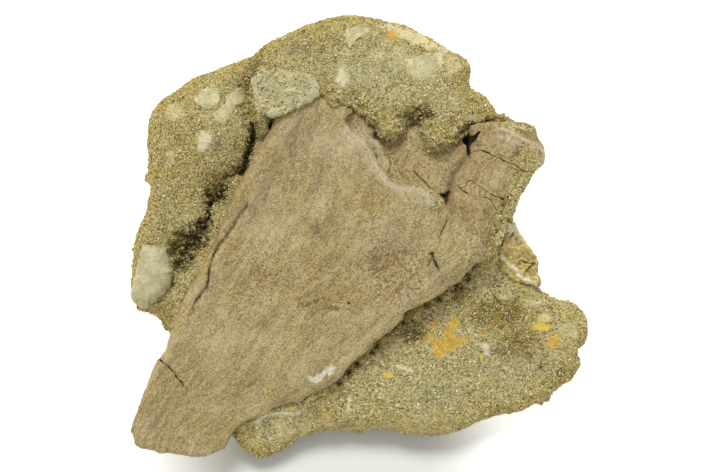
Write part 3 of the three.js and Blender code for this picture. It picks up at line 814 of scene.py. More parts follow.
def rock_body(settings):
    """The block's points, faces and masks: the socket's floor under the bone, the face and the sides, and
    the flat break underneath, as rings from the middle of the one to the middle of the other."""
    rings, depth, edge, directions = rock_rings()
    shaped = rings + outward(rings) * rock_push(settings, rings, depth)[..., None]
    shaped[-1, :, 2] = ground_under(shaped[-1, :, 1])
    hidden = np.linspace(0.14, 1, SOCKET_RINGS)[:, None] * (edge - SOCKET_LAP)
    socket = lifted(BLOCK_CENTRE + directions * hidden[..., None], SOCKET_LEVEL)
    middle = np.array([BLOCK_CENTRE[0], BLOCK_CENTRE[1] + BASE_SHIFT])
    foot = shrunk(shaped[-1, :, :2], middle, np.linspace(1, 0, BASE_RINGS + 2)[1:-1, None])
    foot = lifted(foot, ground_under(foot[..., 1]) + BASE_RECESS)
    rows = np.concatenate([socket, shaped, foot])
    bottom = [*middle, ground_under(middle[1]) + BASE_RECESS]
    points, faces = ring_body([*BLOCK_CENTRE, SOCKET_LEVEL], rows, bottom)
    return points, faces, rock_masks(points, rows.shape[1], depth)


def rock_rind(points, face, crumbly, shade_and_dark_patches):
    """How weathered the rock is: most along its rim, in patches down its sides, and on its crumbly
    parts. Its tint is also laid where shade is painted in the cavities and the darker patches."""
    a, b = points[:, 0], points[:, 1]
    rim = within(a, b, BLOCK_OUTLINE, 200) + 3 * noise(points, 9, 21) + 1.2 * noise(points, 3, 22)
    rind = np.maximum.reduce([
        ease(11, 1.5, rim) * (1 - 0.75 * hummock(a, b, (80, -10), (30, 40))) * face,
        0.75 * (1 - face) * ease(-0.2, 0.5, rough(points, 26, 2, 23)),
        0.7 * hummock(a, b, (-24, 80), (20, 8)) * face,
    ])
    rind = rind * (1 - 0.75 * hummock(a, b, (59, 12), (7, 16)))
    rind = rind * (1 - 0.25 * hummock(a, b, (-36, -80), (16, 10)))
    return np.maximum.reduce([
        rind,
        (0.75 + 0.35 * noise(points, 8, 24)) * hummock(a, b, (-72, 38), (18, 34)) * face,
        (0.5 + 0.5 * noise(points, 6, 25)) * ease(0.2, 0.8, crumbly) * face,
        0.9 * ease(0.04, 0.3, shade_and_dark_patches) * face,
    ])


def rock_masks(points, count, depth):
    """How much of each colour the rock has at each point, how much painted shade it gets in its cavities and
    darker patches, and how thickly its loose grains lie.
    """
    a, b = points[:, 0], points[:, 1]
    unseen = 1 + SOCKET_RINGS * count
    down = np.concatenate([np.zeros(unseen), depth.ravel(), np.ones(BASE_RINGS * count + 1)])
    face = ease(0.1, 0, down)
    crumbly, shade_and_dark_patches = rock_zones(a, b)
    in_iron = within(a, b, IRON_SHAPE, 120) + 0.3 * noise(points, 1.7, 27)
    iron = np.maximum.reduce([
        blots(a, b, IRON_SPOTS, 0.6, 8), lined(a, b, IRON_LINES), ease(-0.3, 0.35, in_iron)
    ])
    paler = heaped(a, b, PALER_MOUNDS) * (0.22 + 0.5 * ease(-0.2, 0.6, rough(points, 5, 3, 28)))
    pale = np.maximum.reduce([
        blots(a, b, PALE_SPOTS, 0.45, 7), 0.62 * blots(a, b, FAINT_SPOTS, 0.5, 7), paler
    ])
    yellow = np.maximum(blots(a, b, YELLOW_SPOTS, 0.3, 9), 0.35 * blots(a, b, [STAINED_SPOT], 0.5, 9))
    white = np.maximum(lined(a, b, WHITE_LINES), 0.45 * blots(a, b, BRIGHT_SPOTS, 0.6, 11))
    bare = np.maximum.reduce([0.85 * pale, 0.97 * iron, yellow, white])
    sand = face * (0.9 + 0.4 * crumbly) * (1 - bare) + 0.22 * (1 - face) * ease(0.97, 0.9, down)
    sand[:unseen] = 0
    return {
        "rind": np.clip(rock_rind(points, face, crumbly, shade_and_dark_patches), 0, 1),
        "pale": pale * face,
        "iron": iron * face,
        "yellow": yellow * face,
        "white": white * face,
        "grey": blots(a, b, GREY_SPOTS, 0.6, 10) * face,
        "painted_shade_and_dark_patches": np.clip(shade_and_dark_patches * face, 0, 1),
        "sand": sand,
    }


# ---- The bone's pieces ----
# The radii of the upper edges: of the blade's left and top sides, its tip and its right side, of the strut's
# right side, of the edges along cracks, and of those in the valley at the strut's left.
ROLL = 4.6
TIP_ROLL = 2.4
RIGHT_ROLL = 2.2
STRUT_ROLL = 2.0
CRACK_ROLL = 0.35
VALLEY_ROLL = 0.25
VALLEY_GAP = 0.15
# Sides, radii and gaps are given in the order left, tip, right, top, and a side of several stretches may have
# a value for each. The steps count the points down the piece and across it. The gaps are in crack widths.
BONE_PIECES = {
    "blade": {
        "node": "bone_blade",
        "sides": (
            [BONE_LEFT], [BONE_TIP], [STRUT_SLIT[1:], STRUT_VALLEY, LOWER_CRACK, BONE_RIGHT], [BLADE_TOP],
        ),
        "steps": (380, 196),
        "radii": (ROLL, TIP_ROLL, (CRACK_ROLL, VALLEY_ROLL, CRACK_ROLL, RIGHT_ROLL), ROLL),
        "gaps": (0, 0, (2.4, VALLEY_GAP, 0.8, 0), 0),
        "middle": (-20, -15),
    },
    "strut_end": {
        "node": "bone_strut_end",
        "sides": ([STRUT_SLIT], [UPPER_CRACK], [STRUT_END_RIGHT], [STRUT_TOP]),
        "steps": (110, 190),
        "radii": (0.8, CRACK_ROLL, 1.6, 1.2),
        "gaps": (2.4, 1, 0, 0),
        "middle": (56, 37),
    },
    "strut_middle": {
        "node": "bone_strut_middle",
        "sides": (
            [STRUT_VALLEY], [[(36.5, 22), (38.5, 20), (40, 19)], MIDDLE_CRACK],
            [STRUT_MIDDLE_RIGHT], [UPPER_CRACK],
        ),
        "steps": (80, 130),
        "radii": (VALLEY_ROLL, CRACK_ROLL, STRUT_ROLL, CRACK_ROLL),
        "gaps": (VALLEY_GAP, (VALLEY_GAP, 1), 0, 1),
        "middle": (51, 24),
    },
    "wedge_chip": {
        "node": "bone_wedge_chip",
        "sides": ([[(40, 19), (40, 18.6)]], [LOWER_CRACK], [[(58, 14.4), (54.5, 9.5)]], [MIDDLE_CRACK]),
        "steps": (24, 90),
        "radii": (VALLEY_ROLL, CRACK_ROLL, STRUT_ROLL, CRACK_ROLL),
        "gaps": (VALLEY_GAP, 0.8, 0, 1),
        "middle": (50, 16),
    },
}
BONE_WALL_RINGS = 5
BONE_UNDER_RINGS = 7
UNDER_ROUND = 2.5  # how far above the underside's middle its edge is
# Where the bone has more of each colour: strength, middle, reach, turn.
BONE_TINGES = {
    "pale": [
        (0.6, (-12, 37), (11, 4.5), -0.3), (0.45, (-37, 4.5), (10, 4.5), 0.2),
        (0.3, (-54, -41), (15, 4), 0.1), (0.35, (52, 37), (6, 5)),
    ],
    "ochre": [(0.5, (-12, -15), (15, 13)), (0.5, (5, 15), (12, 9)), (0.4, (-60, -72), (18, 9))],
    "freckled": [
        (1.5, (14, -13), (10, 10)), (0.5, (-42, -16), (9, 10)), (0.3, (-10, -16), (18, 8)),
        (0.6, (47, -2), (6, 12)),
    ],
    "rust": [
        (1, (63.6, 35.4), (2.4, 1.4)), (0.8, (60.4, 32), (1.4, 2.8), -0.3), (0.5, (13, 31), (2.4, 7), 0.3),
    ],
    "dark": [
        (0.6, (30, 12.4), (2.2, 3.6)), (0.26, (-20.3, -26.8), (5, 0.9), 0.37),
        (0.3, (-10.2, -28.7), (2.2, 1)), (0.22, (30, -13.5), (5, 5)), (0.3, (5, 33.6), (2.2, 4), 0.6),
        (0.14, (-80, -70), (11, 10)), (0.07, (-18, 4), (5, 4)), (0.14, (8, -6), (20, 15)),
        (0.12, (-45, -58), (12, 6), 0.3),
    ],
}


def blended(left, tip, right, top):
    """A Coons patch: the mean of the sides across and along, less what the corners count twice."""
    u = np.linspace(0, 1, len(left))[:, None, None]
    v = np.linspace(0, 1, len(top))[None, :, None]
    across = (1 - v) * left[:, None] + v * right[:, None]
    along = (1 - u) * top[None] + u * tip[None]
    corners = (1 - u) * ((1 - v) * left[0] + v * right[0]) + u * ((1 - v) * left[-1] + v * right[-1])
    return across + along - corners


def along_sides(values, sides, steps):
    """A value for each side, or for each stretch of it, at each point of the outline: the steps count the
    points down the left and right sides and those along the tip and the top."""
    n, m = steps
    found = []
    for value, side, count, backward in zip(values, sides, (n, m, n, m), (0, 0, 1, 1)):
        if np.isscalar(value):
            found.append(np.full(count, float(value)))
            continue
        each = np.repeat(value, [JOINED_STEPS * len(points) for points in side])
        lengths = arc_lengths(joined(*side))
        values_along = np.interp(np.linspace(0, lengths[-1], count + 1), lengths, each)
        found.append((values_along[::-1] if backward else values_along)[:-1])
    return np.concatenate(found)


def patch_loop(sides, steps, half_gaps):
    """A piece's outline, counterclockwise from its upper left corner, wandering a little as breaks do, and
    drawn in by half the gap to its neighbours."""
    n, m = steps
    left, tip, right, top = (resampled(joined(*side), count + 1) for side, count in zip(sides, (n, m, n, m)))
    loop = np.vstack([left[:-1], tip[:-1], right[::-1][:-1], top[::-1][:-1]])
    half_gaps = half_gaps * np.clip(0.6 + noise(lifted(loop), 3, 33), 0.15, 1.4)
    loop = wandering(loop, 0.5, 4.5, 4, (31, 36))
    along = unit(np.roll(loop, -2, axis=0) - np.roll(loop, 2, axis=0))
    return loop + np.column_stack([-along[:, 1], along[:, 0]]) * half_gaps[:, None]


def drawn_in(a, b, lines, reach=2.6, power=1.8):
    """Moves the places near each line towards it, from a distance d to reach times (d / reach) ^ power, so
    that the mesh is finest along cracks."""
    for line in lines:
        away, share = nearest(a, b, line)
        steps = np.linspace(0, 1, len(line))
        near_a, near_b = np.interp(share, steps, line[:, 0]), np.interp(share, steps, line[:, 1])
        kept = np.clip(np.abs(away) / reach, 1e-6, 1) ** (power - 1)
        a, b = near_a + (a - near_a) * kept, near_b + (b - near_b) * kept
    return a, b


def fibre_places(loop, steps, start):
    """Where each point of a piece lies in the bone's grain, in millimetres across and along the fibres. The
    start is the third number, and moves the piece to another part of the grain."""
    n, m = steps
    lengths = np.linalg.norm(np.diff(loop, axis=0), axis=1)
    length = (lengths[:n].sum() + lengths[n + m : 2 * n + m].sum()) / 2
    width = 1.3 * max(lengths[n : n + m].sum(), 20)
    return at(np.linspace(0, width, m + 1)[None], np.linspace(0, length, n + 1)[:, None], start)


def edge_roll(a, b, loop, radii):
    """How far the upper side turns down near its edge: a quarter circle, of the radius at the nearest
    place."""
    edge, share = nearest(a, b, np.vstack([loop, loop[:1]])[::2])
    radius = np.interp(share, np.linspace(0, 1, len(loop)), radii)
    left = np.clip(radius - np.abs(edge), 0, None)
    return radius - np.sqrt(np.maximum(radius**2 - left**2, 0))


def bone_top(settings, loop, steps, radii, fibre):
    """The upper side, blended between the outline's four sides, and its damage: the bone's relief, less its
    cracks and the roll of its edges, with the ridges of its fibres."""
    n, m = steps
    top_side = np.vstack([loop[2 * n + m :], loop[:1]])[::-1]
    plan = blended(loop[: n + 1], loop[n : n + m + 1], loop[n + m : 2 * n + m + 1][::-1], top_side)
    lines = [jagged(path) for path, _, _ in CRACKS] + [jagged(EDGE_GROOVE, 70)]
    a, b = drawn_in(plan[..., 0], plan[..., 1], lines)
    strands = noise(fibre, np.array([0.9, 9, 5]), 41) + 0.6 * noise(fibre, np.array([0.5, 4, 5]), 42)
    damage = bone_damage(a, b)
    c = bone_relief(a, b) - edge_roll(a, b, loop, radii) - damage + settings.fibre_depth / MM * strands
    return at(a, b, c), damage


def bone_walls(loop, edge_c, radii, middle):
    """The rings under the upper side's edge: walls straight down, frayed where the edge isn't a clean
    crack, and an underside that draws in to the middle as the sixth power of the way there."""
    down = np.linspace(0, 1, BONE_WALL_RINGS + 1)[1:, None]
    wall_c = edge_c + (BONE_UNDER + UNDER_ROUND - edge_c) * down
    fray = 0.5 * rough(lifted(loop, wall_c), 3.5, 2, 44) * np.sin(down * math.pi)
    fray = fray * np.where(radii > 1, 1, 0) - 0.9 * down**2
    walls = lifted(loop + unit(loop - middle) * fray[..., None], wall_c)
    draw = np.linspace(1, 0, BONE_UNDER_RINGS + 2)[1:-1, None]
    under = lifted(shrunk(walls[-1, :, :2], middle, draw), BONE_UNDER + UNDER_ROUND * draw**6)
    return np.concatenate([walls, under])


def bone_body(settings, piece):
    """A piece of the bone, closed: its upper side as a grid, its walls and its underside. Also its
    masks."""
    sides, (n, m), middle = piece["sides"], piece["steps"], np.array(piece["middle"])
    gaps, radii = (along_sides(piece[kind], sides, (n, m)) for kind in ("gaps", "radii"))
    loop = patch_loop(sides, (n, m), gaps * settings.crack_gap / MM / 2)
    fibre = fibre_places(loop, (n, m), sides[0][0][0][0])
    surface, damage = bone_top(settings, loop, (n, m), radii, fibre)
    surface, fibre = surface.reshape(-1, 3), fibre.reshape(-1, 3)
    around = np.concatenate([
        np.arange(n) * (m + 1), n * (m + 1) + np.arange(m),
        np.arange(n, 0, -1) * (m + 1) + m, np.arange(m, 0, -1),
    ])
    rings = bone_walls(loop, surface[around, 2], radii, middle)
    points = np.vstack([surface, rings.reshape(-1, 3), [[*middle, BONE_UNDER]]])
    grid = np.arange(len(surface)).reshape(n + 1, m + 1)
    quads = np.stack([grid[:-1, :-1], grid[1:, :-1], grid[1:, 1:], grid[:-1, 1:]], axis=-1).reshape(-1, 4)
    ring = np.arange(len(loop))
    lower = len(surface) + ring
    band_below = np.stack([around, lower, np.roll(lower, -1), np.roll(around, -1)], axis=-1)
    faces = [
        quads, band_below, ring_faces(len(rings), len(loop), len(surface)),
        fan(len(points) - 1, lower + (len(rings) - 1) * len(loop), last=True),
    ]
    below = np.tile(fibre[around], (len(rings), 1)) + at(0, 0, rings.reshape(-1, 3)[:, 2])
    unhurt = np.zeros(len(points) - len(surface))
    layers = bone_masks(points[:, 0], points[:, 1], np.concatenate([damage.ravel(), unhurt]))
    layers["fibre"] = np.vstack([fibre, below, below[:1]])
    return points, faces, layers


def bone_masks(a, b, damage):
    """How much of each colour the bone has at each point, with painted shade in its cracks and a painted
    highlight on its crests, and where sand sticks to it.
    """
    place = at(a, b)
    patch = noise(place, 9, 51)
    lip, along_lip = nearest(a, b, spline(LIP, 60))
    groove, along_groove = nearest(a, b, spline(EDGE_GROOVE, 60))
    left_edge = np.abs(distance_from(a, b, BONE_LEFT, 100))
    crest = distance_from(a, b, STRUT_CREST, 60)
    behind = distance_from(a, b, END_CREST, 30)
    foot = distance_from(a, b, STRUT_FOOT[2:], 60)
    in_bowl = within(a, b, BOWL, 120)
    trough = band(distance_from(a, b, TROUGH, 30), 5)
    ridge = band(distance_from(a, b, LOW_RIDGE, 30), 1.2)
    mounds = {colour: heaped(a, b, rows) for colour, rows in BONE_TINGES.items()}

    worn_lip = 1.1 * band(lip + 1.5 + 0.8 * noise(place, 2.2, 59), 2) * ease(0, 0.06, along_lip)
    worn_lip = worn_lip + 0.6 * band(lip - 2.6, 1.3) * ease(0.1, 0.25, along_lip) * ease(0.6, 0.45, along_lip)
    # Pale along the strut's crests and the low ridge: partly wear, partly a painted highlight.
    crest_wear_and_highlight = 0.4 * band(crest + 1, 1.3) * ease(0, -12, b) + 1.5 * band(behind + 1, 1.8) * ease(51, 57, a)
    pale = mounds["pale"] + worn_lip + crest_wear_and_highlight + 0.4 * ridge + 0.25 * ease(0.1, 0.7, patch)

    ochre = mounds["ochre"] + 0.5 * ease(7, 2, left_edge) + 0.4 * ease(0, -0.6, patch)

    speckle = ease(0.0, 0.4, noise(place, 1.1, 52) + 0.3 * noise(place, 3.6, 57))
    rust = mounds["rust"] + (0.25 + 0.75 * speckle) * np.clip(1.3 * mounds["freckled"], 0, 1)
    rust = rust + 0.8 * band(groove, 0.8) * (1 - 0.5 * ease(0.5, 0.8, along_groove))
    rust = rust + 0.15 * ease(0, 3, in_bowl)

    # The mounds, the dented smudge and the brown facets past the crest are the bone's own darker colour.
    # Painted shade: in the cracks, pits and holes as deep as they are, along the foot of the strut's left
    # side, and partly in the trough. It is also a little darker towards the tip.
    dented = 0.3 * hummock(a, b, (-19, 4.2), (6.4, 2.8), -0.75) * (1 + noise(place, 3, 55))
    strut_foot_shade = 0.4 * band(foot + 0.6, 1.1) * ease(14, 20, b)
    past_crest = 0.25 * ease(0.6, 2.4, behind + 0.6 * noise(place, 3, 58)) * ease(58, 64, a)
    dark = mounds["dark"] + ease(0.3, 1.0, damage) + dented + strut_foot_shade + past_crest
    dark = dark + 0.03 * ease(-20, -50, b) + 0.2 * trough

    sandy = blots(a, b, SANDY, 0.5, 53)
    return {
        "pale": np.clip(pale, 0, 1),
        "ochre": np.clip(ochre, 0, 1),
        "rust": np.clip(rust, 0, 1),
        "dark": np.clip(dark, 0, 1),
        "sandy": sandy,
        "white": blots(a, b, CRYSTALS, 0.9, 54),
        "pink": ease(20, 40, a) * ease(-5, 15, b),
        "sand": sandy * ease(0.4, 0.7, sandy) * np.where(a > 15, 0.9, 0.25),
    }


# ---- Pebbles, chips and the flaky stone ----
FLAKE_LEVEL = -6.6  # of the flaky stone's top at its lower end
FLAKE_RISE = 8.5  # from there to its upper end
FLAKE_UNDER = -20.0
FLAKE_TOP_RINGS = 56
FLAKE_WALL_RINGS = 25
PLATE = 1.3  # how thick the torn plates in its edge are


def stone_rings(loop, level, rise, sink, power, rows):
    """Rings of a rounded stone, and how far out each of their points is: over its height, which rises above
    its level and sinks below it, its outline shrinks as a superellipse of that power does."""
    angle = np.linspace(0, math.pi, rows + 2)[1:-1, None]
    share = np.sin(angle) ** (2 / power)
    height = np.sign(np.cos(angle)) * np.abs(np.cos(angle)) ** (2 / power)
    height = np.where(height > 0, height * rise, height * sink)
    return lifted(shrunk(loop, loop.mean(axis=0), share), level + height), share * np.ones(len(loop))


def stone_body(rings, bumps):
    """A closed stone from its rings, with its dents and grain pushed along its normals."""
    shaped = rings + outward(rings) * bumps[..., None]
    return ring_body(shaped[0].mean(axis=0), shaped, shaped[-1].mean(axis=0))


def rim_mask(share):
    """How far out each point of a stone is, from 0 to 1, and 1 on its lower half."""
    half = len(share) // 2
    return np.concatenate([[0], share[:half].ravel(), np.ones(share[half:].size + 1)])


def pebble_body(loop, level, rise, sink, power):
    """A rounded stone with soft dents and a little grain, and its rim."""
    rings, share = stone_rings(chip_loop(loop, 220), level, rise, sink, power, rows=72)
    bumps = 0.45 * noise(rings, 9, 61) + 0.2 * noise(rings, 3.5, 62) + 0.06 * noise(rings, 1.1, 63)
    points, faces = stone_body(rings, bumps)
    return points, faces, rim_mask(share)


def chip_body(outline):
    """A thin chip that follows the rock's surface, and its rim."""
    rings, share = stone_rings(chip_loop(outline), level=-0.35, rise=0.9, sink=1.6, power=3.2, rows=30)
    rings[..., 2] += rock_base(rings[..., 0], rings[..., 1])
    bumps = 0.25 * noise(rings, 3.5, 64) + 0.1 * noise(rings, 1.2, 65)
    points, faces = stone_body(rings, bumps)
    return points, faces, rim_mask(share)


def flake_body():
    """A stack of thin, uneven plates: the top falls in sharp steps, and the edge is torn at each plate."""
    loop = chip_loop(FLAKE, 200)
    middle = loop.mean(axis=0)
    share = np.linspace(0.03, 1, FLAKE_TOP_RINGS)[:, None]
    place = lifted(shrunk(loop, middle, share))
    a, b = place[..., 0], place[..., 1]
    fall = 1.6 * rough(place, 8, 3, 71) - 0.28 * (0.55 * (a - middle[0]) + 0.3 * (b - middle[1]))
    layer = np.floor(fall)
    stepped = layer + ease(0.7, 0.98, fall - layer)
    c = FLAKE_LEVEL + FLAKE_RISE * np.clip((b + 15) / 20, 0, 1) + stepped - 1.6 * lined(a, b, FLAKE_SLITS, 76)
    c = c - 1.6 * ease(0.85, 1, share) + 0.9 * facets(place, 3.4, 6) + 0.5 * billows(place, 2.2, 2, 77)
    top = at(a, b, c + 0.15 * noise(place, 1.6, 72))
    down = np.linspace(0, 1, FLAKE_WALL_RINGS + 1)[1:, None]
    edge_c = top[-1, :, 2] + (FLAKE_UNDER - top[-1, :, 2]) * down
    torn = 0.9 * noise(lifted(0.5 * loop, 3.1 * np.floor(edge_c / PLATE)), 2.2, 73) - 0.5
    wall = lifted(loop + unit(loop - middle) * torn[..., None], edge_c)
    under = shrunk(wall[-1, :, :2], middle, np.linspace(1, 0, 5)[1:-1, None])
    rings = np.concatenate([top, wall, lifted(under, FLAKE_UNDER)])
    points, faces = ring_body([*middle, rings[0, :, 2].mean()], rings, [*middle, FLAKE_UNDER])
    a, b = points[:, 0], points[:, 1]
    rim = ease(1.1, 0.3, np.abs(distance_from(a, b, FLAKE_RIM, 60)) + 1.1 * rough(points, 2.6, 2, 74))
    streaks = ease(0.1, 0.5, noise(points, np.array([2.0, 5.0, 3.0]), 75))
    return points, faces, {
        "rim": np.maximum(rim, 0.75 * ease(-4, 5, b)),
        "slit": np.maximum(0.6 * streaks, lined(a, b, FLAKE_SLITS, 76)),
    }


# ---- Sand grains ----
# The darker grains of the fourth column add to the painted shade in the cavities and darker patches.
TONES = {  # share of the grains in fresh rock, in the rind, in grey patches and in cavities
    "quartz": (0.21, 0.05, 0.22, 0.07),
    "cream": (0.27, 0.15, 0.24, 0.11),
    "buff": (0.24, 0.27, 0.14, 0.12),
    "olive": (0.14, 0.23, 0.13, 0.25),
    "umber": (0.07, 0.10, 0.09, 0.41),
    "straw": (0.04, 0.19, 0.00, 0.05),
    "grey": (0.03, 0.01, 0.18, 0.01),
}
CORNERS = np.array([(1, 1, 1), (1, -1, -1), (-1, 1, -1), (-1, -1, 1)])  # of a tetrahedron
SIDES = np.array([(0, 1, 2), (0, 3, 1), (0, 2, 3), (1, 3, 2)])


def surface_of(piece):
    """A piece's points in the face's frame, its quads, and how to read its attributes."""
    mesh = piece.data
    points = np.empty(3 * len(mesh.vertices))
    mesh.vertices.foreach_get("co", points)
    counts = np.empty(len(mesh.polygons), int)
    mesh.polygons.foreach_get("loop_total", counts)
    corners = np.empty(len(mesh.loops), int)
    mesh.loops.foreach_get("vertex_index", corners)
    quads = corners[np.repeat(counts == 4, counts)].reshape(-1, 4)

    def layer(name):
        """An attribute's mean over each quad's corners; 0 where the piece has none of that name."""
        values = np.zeros(len(mesh.vertices))
        if name in mesh.attributes:
            mesh.attributes[name].data.foreach_get("value", values)
        return values[quads].mean(axis=1)

    return (points.reshape(-1, 3) - FACE_MIDDLE) / MM @ FACE_AXES.T, quads, layer


def sprinkled(piece, density, dice):
    """Random places on a piece's quads, as many to the square millimetre as the density times the sand
    attribute says, their normals, and a random tone for each, by the colours of the rock around it."""
    points, quads, layer = surface_of(piece)
    corner = points[quads]
    across = np.cross(corner[:, 2] - corner[:, 0], corner[:, 3] - corner[:, 1])
    area = np.linalg.norm(across, axis=1) / 2
    weight = area * layer("sand") + 1e-9
    count = int(weight.sum() * density)
    chosen = dice.choice(len(quads), count, p=weight / weight.sum())
    u, v = dice.random((2, count, 1))
    corner = corner[chosen]
    near = (1 - v) * corner[:, 0] + v * corner[:, 3]
    far = (1 - v) * corner[:, 1] + v * corner[:, 2]
    normal = across[chosen] / (2 * area[chosen, None])
    fresh, rind, grey, deep = np.array(list(TONES.values())).T
    mix = fresh + layer("rind")[chosen, None] * (rind - fresh) + layer("grey")[chosen, None] * (grey - fresh)
    # Where shade is painted, darker grains are picked.
    mix = mix + layer("painted_shade_and_dark_patches")[chosen, None] * (deep - mix)
    mix = np.clip(mix, 0, None)
    reached = np.cumsum(mix, axis=1) / mix.sum(axis=1, keepdims=True)
    return (1 - u) * near + u * far, normal, (dice.random((count, 1)) > reached).sum(axis=1)


def grain_mesh(centres, radii, dice):
    """Uneven tetrahedra: each is turned by the orthogonal part of a random matrix, and its four corners lie
    at random lengths from its middle."""
    turn = np.linalg.qr(dice.normal(size=(len(centres), 3, 3)))[0]
    turn = turn * np.linalg.det(turn)[:, None, None]
    arms = CORNERS @ turn * dice.uniform(0.55, 0.95, (len(centres), 4, 1))
    points = centres[:, None] + arms * radii[:, None, None]
    faces = 4 * np.arange(len(centres))[:, None, None] + SIDES
    return points.reshape(-1, 3), faces.reshape(-1, 3)


# ---- Colours and materials ----
def paint(red, green, blue):
    """A colour as seen on a screen, 0 to 255, as the linear values that a material takes."""
    shown = (red / 255, green / 255, blue / 255)
    return tuple(v / 12.92 if v <= 0.04045 else ((v + 0.055) / 1.055) ** 2.4 for v in shown)


class Wire:
    """A number that varies over a surface: Python's operators add the Math nodes that work it out."""

    def __init__(self, shade, socket):
        self.shade = shade
        self.socket = socket

    def math(self, operation, first, second):
        """A Math node on two numbers, of which either or both may vary."""
        return self.shade.node("ShaderNodeMath", {"operation": operation}, {0: first, 1: second})

    def __add__(self, other):
        return self.math("ADD", self, other)

    __radd__ = __add__

    def __sub__(self, other):
        return self.math("SUBTRACT", self, other)

    def __rsub__(self, other):
        return self.math("SUBTRACT", other, self)

    def __mul__(self, other):
        return self.math("MULTIPLY", self, other)

    __rmul__ = __mul__

    def between(self, low, high, start=0.0, end=1.0):
        """A smooth step from start to end, as the number goes from low to high."""
        inputs = {0: self, 1: low, 2: high, 3: start, 4: end}
        return self.shade.node("ShaderNodeMapRange", {"interpolation_type": "SMOOTHSTEP"}, inputs)


class Shade:
    """A material under construction, with one Principled shader."""

    def __init__(self, name):
        self.material = bpy.data.materials.new(name)
        self.material.use_nodes = True
        self.tree = self.material.node_tree
        self.tree.nodes.clear()
        output = self.tree.nodes.new("ShaderNodeOutputMaterial")
        self.shader = self.tree.nodes.new("ShaderNodeBsdfPrincipled")
        self.tree.links.new(self.shader.outputs[0], output.inputs["Surface"])
        self.place = self.scaled(self.node("ShaderNodeTexCoord", out="Object"), (1 / MM, 1 / MM, 1 / MM))

    def put(self, socket, value):
        """Gives a socket a wire, a colour or a number."""
        if isinstance(value, Wire):
            self.tree.links.new(value.socket, socket)
        elif socket.type == "RGBA":
            socket.default_value = (*value, 1)
        else:
            socket.default_value = value

    def node(self, kind, settings=None, inputs=None, out=0):
        """Adds a node: its settings first, then the values or wires of its sockets."""
        made = self.tree.nodes.new(kind)
        for name, value in (settings or {}).items():
            setattr(made, name, value)
        for socket, value in (inputs or {}).items():
            self.put(made.inputs[socket], value)
        return Wire(self, made.outputs[out])

    def mask(self, name, out="Fac"):
        """One of the piece's own attributes."""
        return self.node("ShaderNodeAttribute", {"attribute_name": name}, out=out)

    def scaled(self, vector, factors):
        """A place, with each of its coordinates multiplied by a factor."""
        return self.node("ShaderNodeVectorMath", {"operation": "MULTIPLY"}, {0: vector, 1: factors})

    def cloud(self, place, size, detail=3.0, roughness=0.55):
        """Noise of that lump size in millimetres, from 0 to 1, mostly near a half."""
        inputs = {"Vector": place, "Scale": 1 / size, "Detail": detail, "Roughness": roughness}
        return self.node("ShaderNodeTexNoise", None, inputs, "Fac")

    def grains(self, place, size, out="Distance"):
        """Scattered grains of that size in millimetres: how far each place is from the nearest one's
        middle."""
        return self.node("ShaderNodeTexVoronoi", None, {"Vector": place, "Scale": 1 / size}, out)

    def dice(self, place, size):
        """A random number from 0 to 1 for each grain."""
        colour = self.grains(place, size, out="Color")
        return self.node("ShaderNodeSeparateColor", None, {0: colour}, 0)

    def mix(self, factor, first, second, blend="MIX"):
        """Two colours, the second blended over the first by the factor."""
        settings = {"data_type": "RGBA", "blend_type": blend, "clamp_factor": True}
        return self.node("ShaderNodeMix", settings, {0: factor, 6: first, 7: second}, 2)

    def tinted(self, factor, colour, tint):
        """A colour, by the factor multiplied by a tint."""
        return self.mix(factor, colour, self.mix(1.0, colour, tint, "MULTIPLY"))

    def brighter(self, colour, amount):
        """A colour times a number."""
        tone = self.node("ShaderNodeCombineColor", None, {0: amount, 1: amount, 2: amount})
        return self.mix(1.0, colour, tone, "MULTIPLY")

    def coat(self, colour, roughness):
        """Gives the shader its colour and its roughness, and gives back the material."""
        self.put(self.shader.inputs["Base Color"], colour)
        self.put(self.shader.inputs["Roughness"], roughness)
        return self.material

    def finish(self, colour, roughness, height, distance, strength):
        """A coat with a bump, whose height is multiplied by the distance, in metres."""
        inputs = {"Strength": strength, "Distance": distance, "Height": height}
        self.put(self.shader.inputs["Normal"], self.node("ShaderNodeBump", None, inputs, "Normal"))
        return self.coat(colour, roughness)


FINE_SHARE = 0.55  # of a coarse grain's width
GRAIN_EDGE = (0.1, 0.75)  # where a grain's top starts to fall, and where it ends, as shares of its size


def sand_colour(shade, rock):
    """The sandstone's grains: dark, middling and light ones, coarse with finer ones between them. Also the
    random numbers that chose them."""
    size = rock.grain_size / MM
    coarse = shade.dice(shade.place, size)
    fine = shade.dice(shade.place, FINE_SHARE * size)
    drift = shade.cloud(shade.place, 3.2, 4.0, 0.7) * 0.35 + shade.cloud(shade.place, 14, 2.0) * 0.35
    number = coarse * 0.55 + fine * 0.45 + (drift - 0.35) * 0.6
    colour = shade.mix(number.between(0.26, 0.5), rock.dark_grain, rock.middle_grain)
    colour = shade.mix(number.between(0.54, 0.78), colour, rock.light_grain)
    return colour, coarse, fine


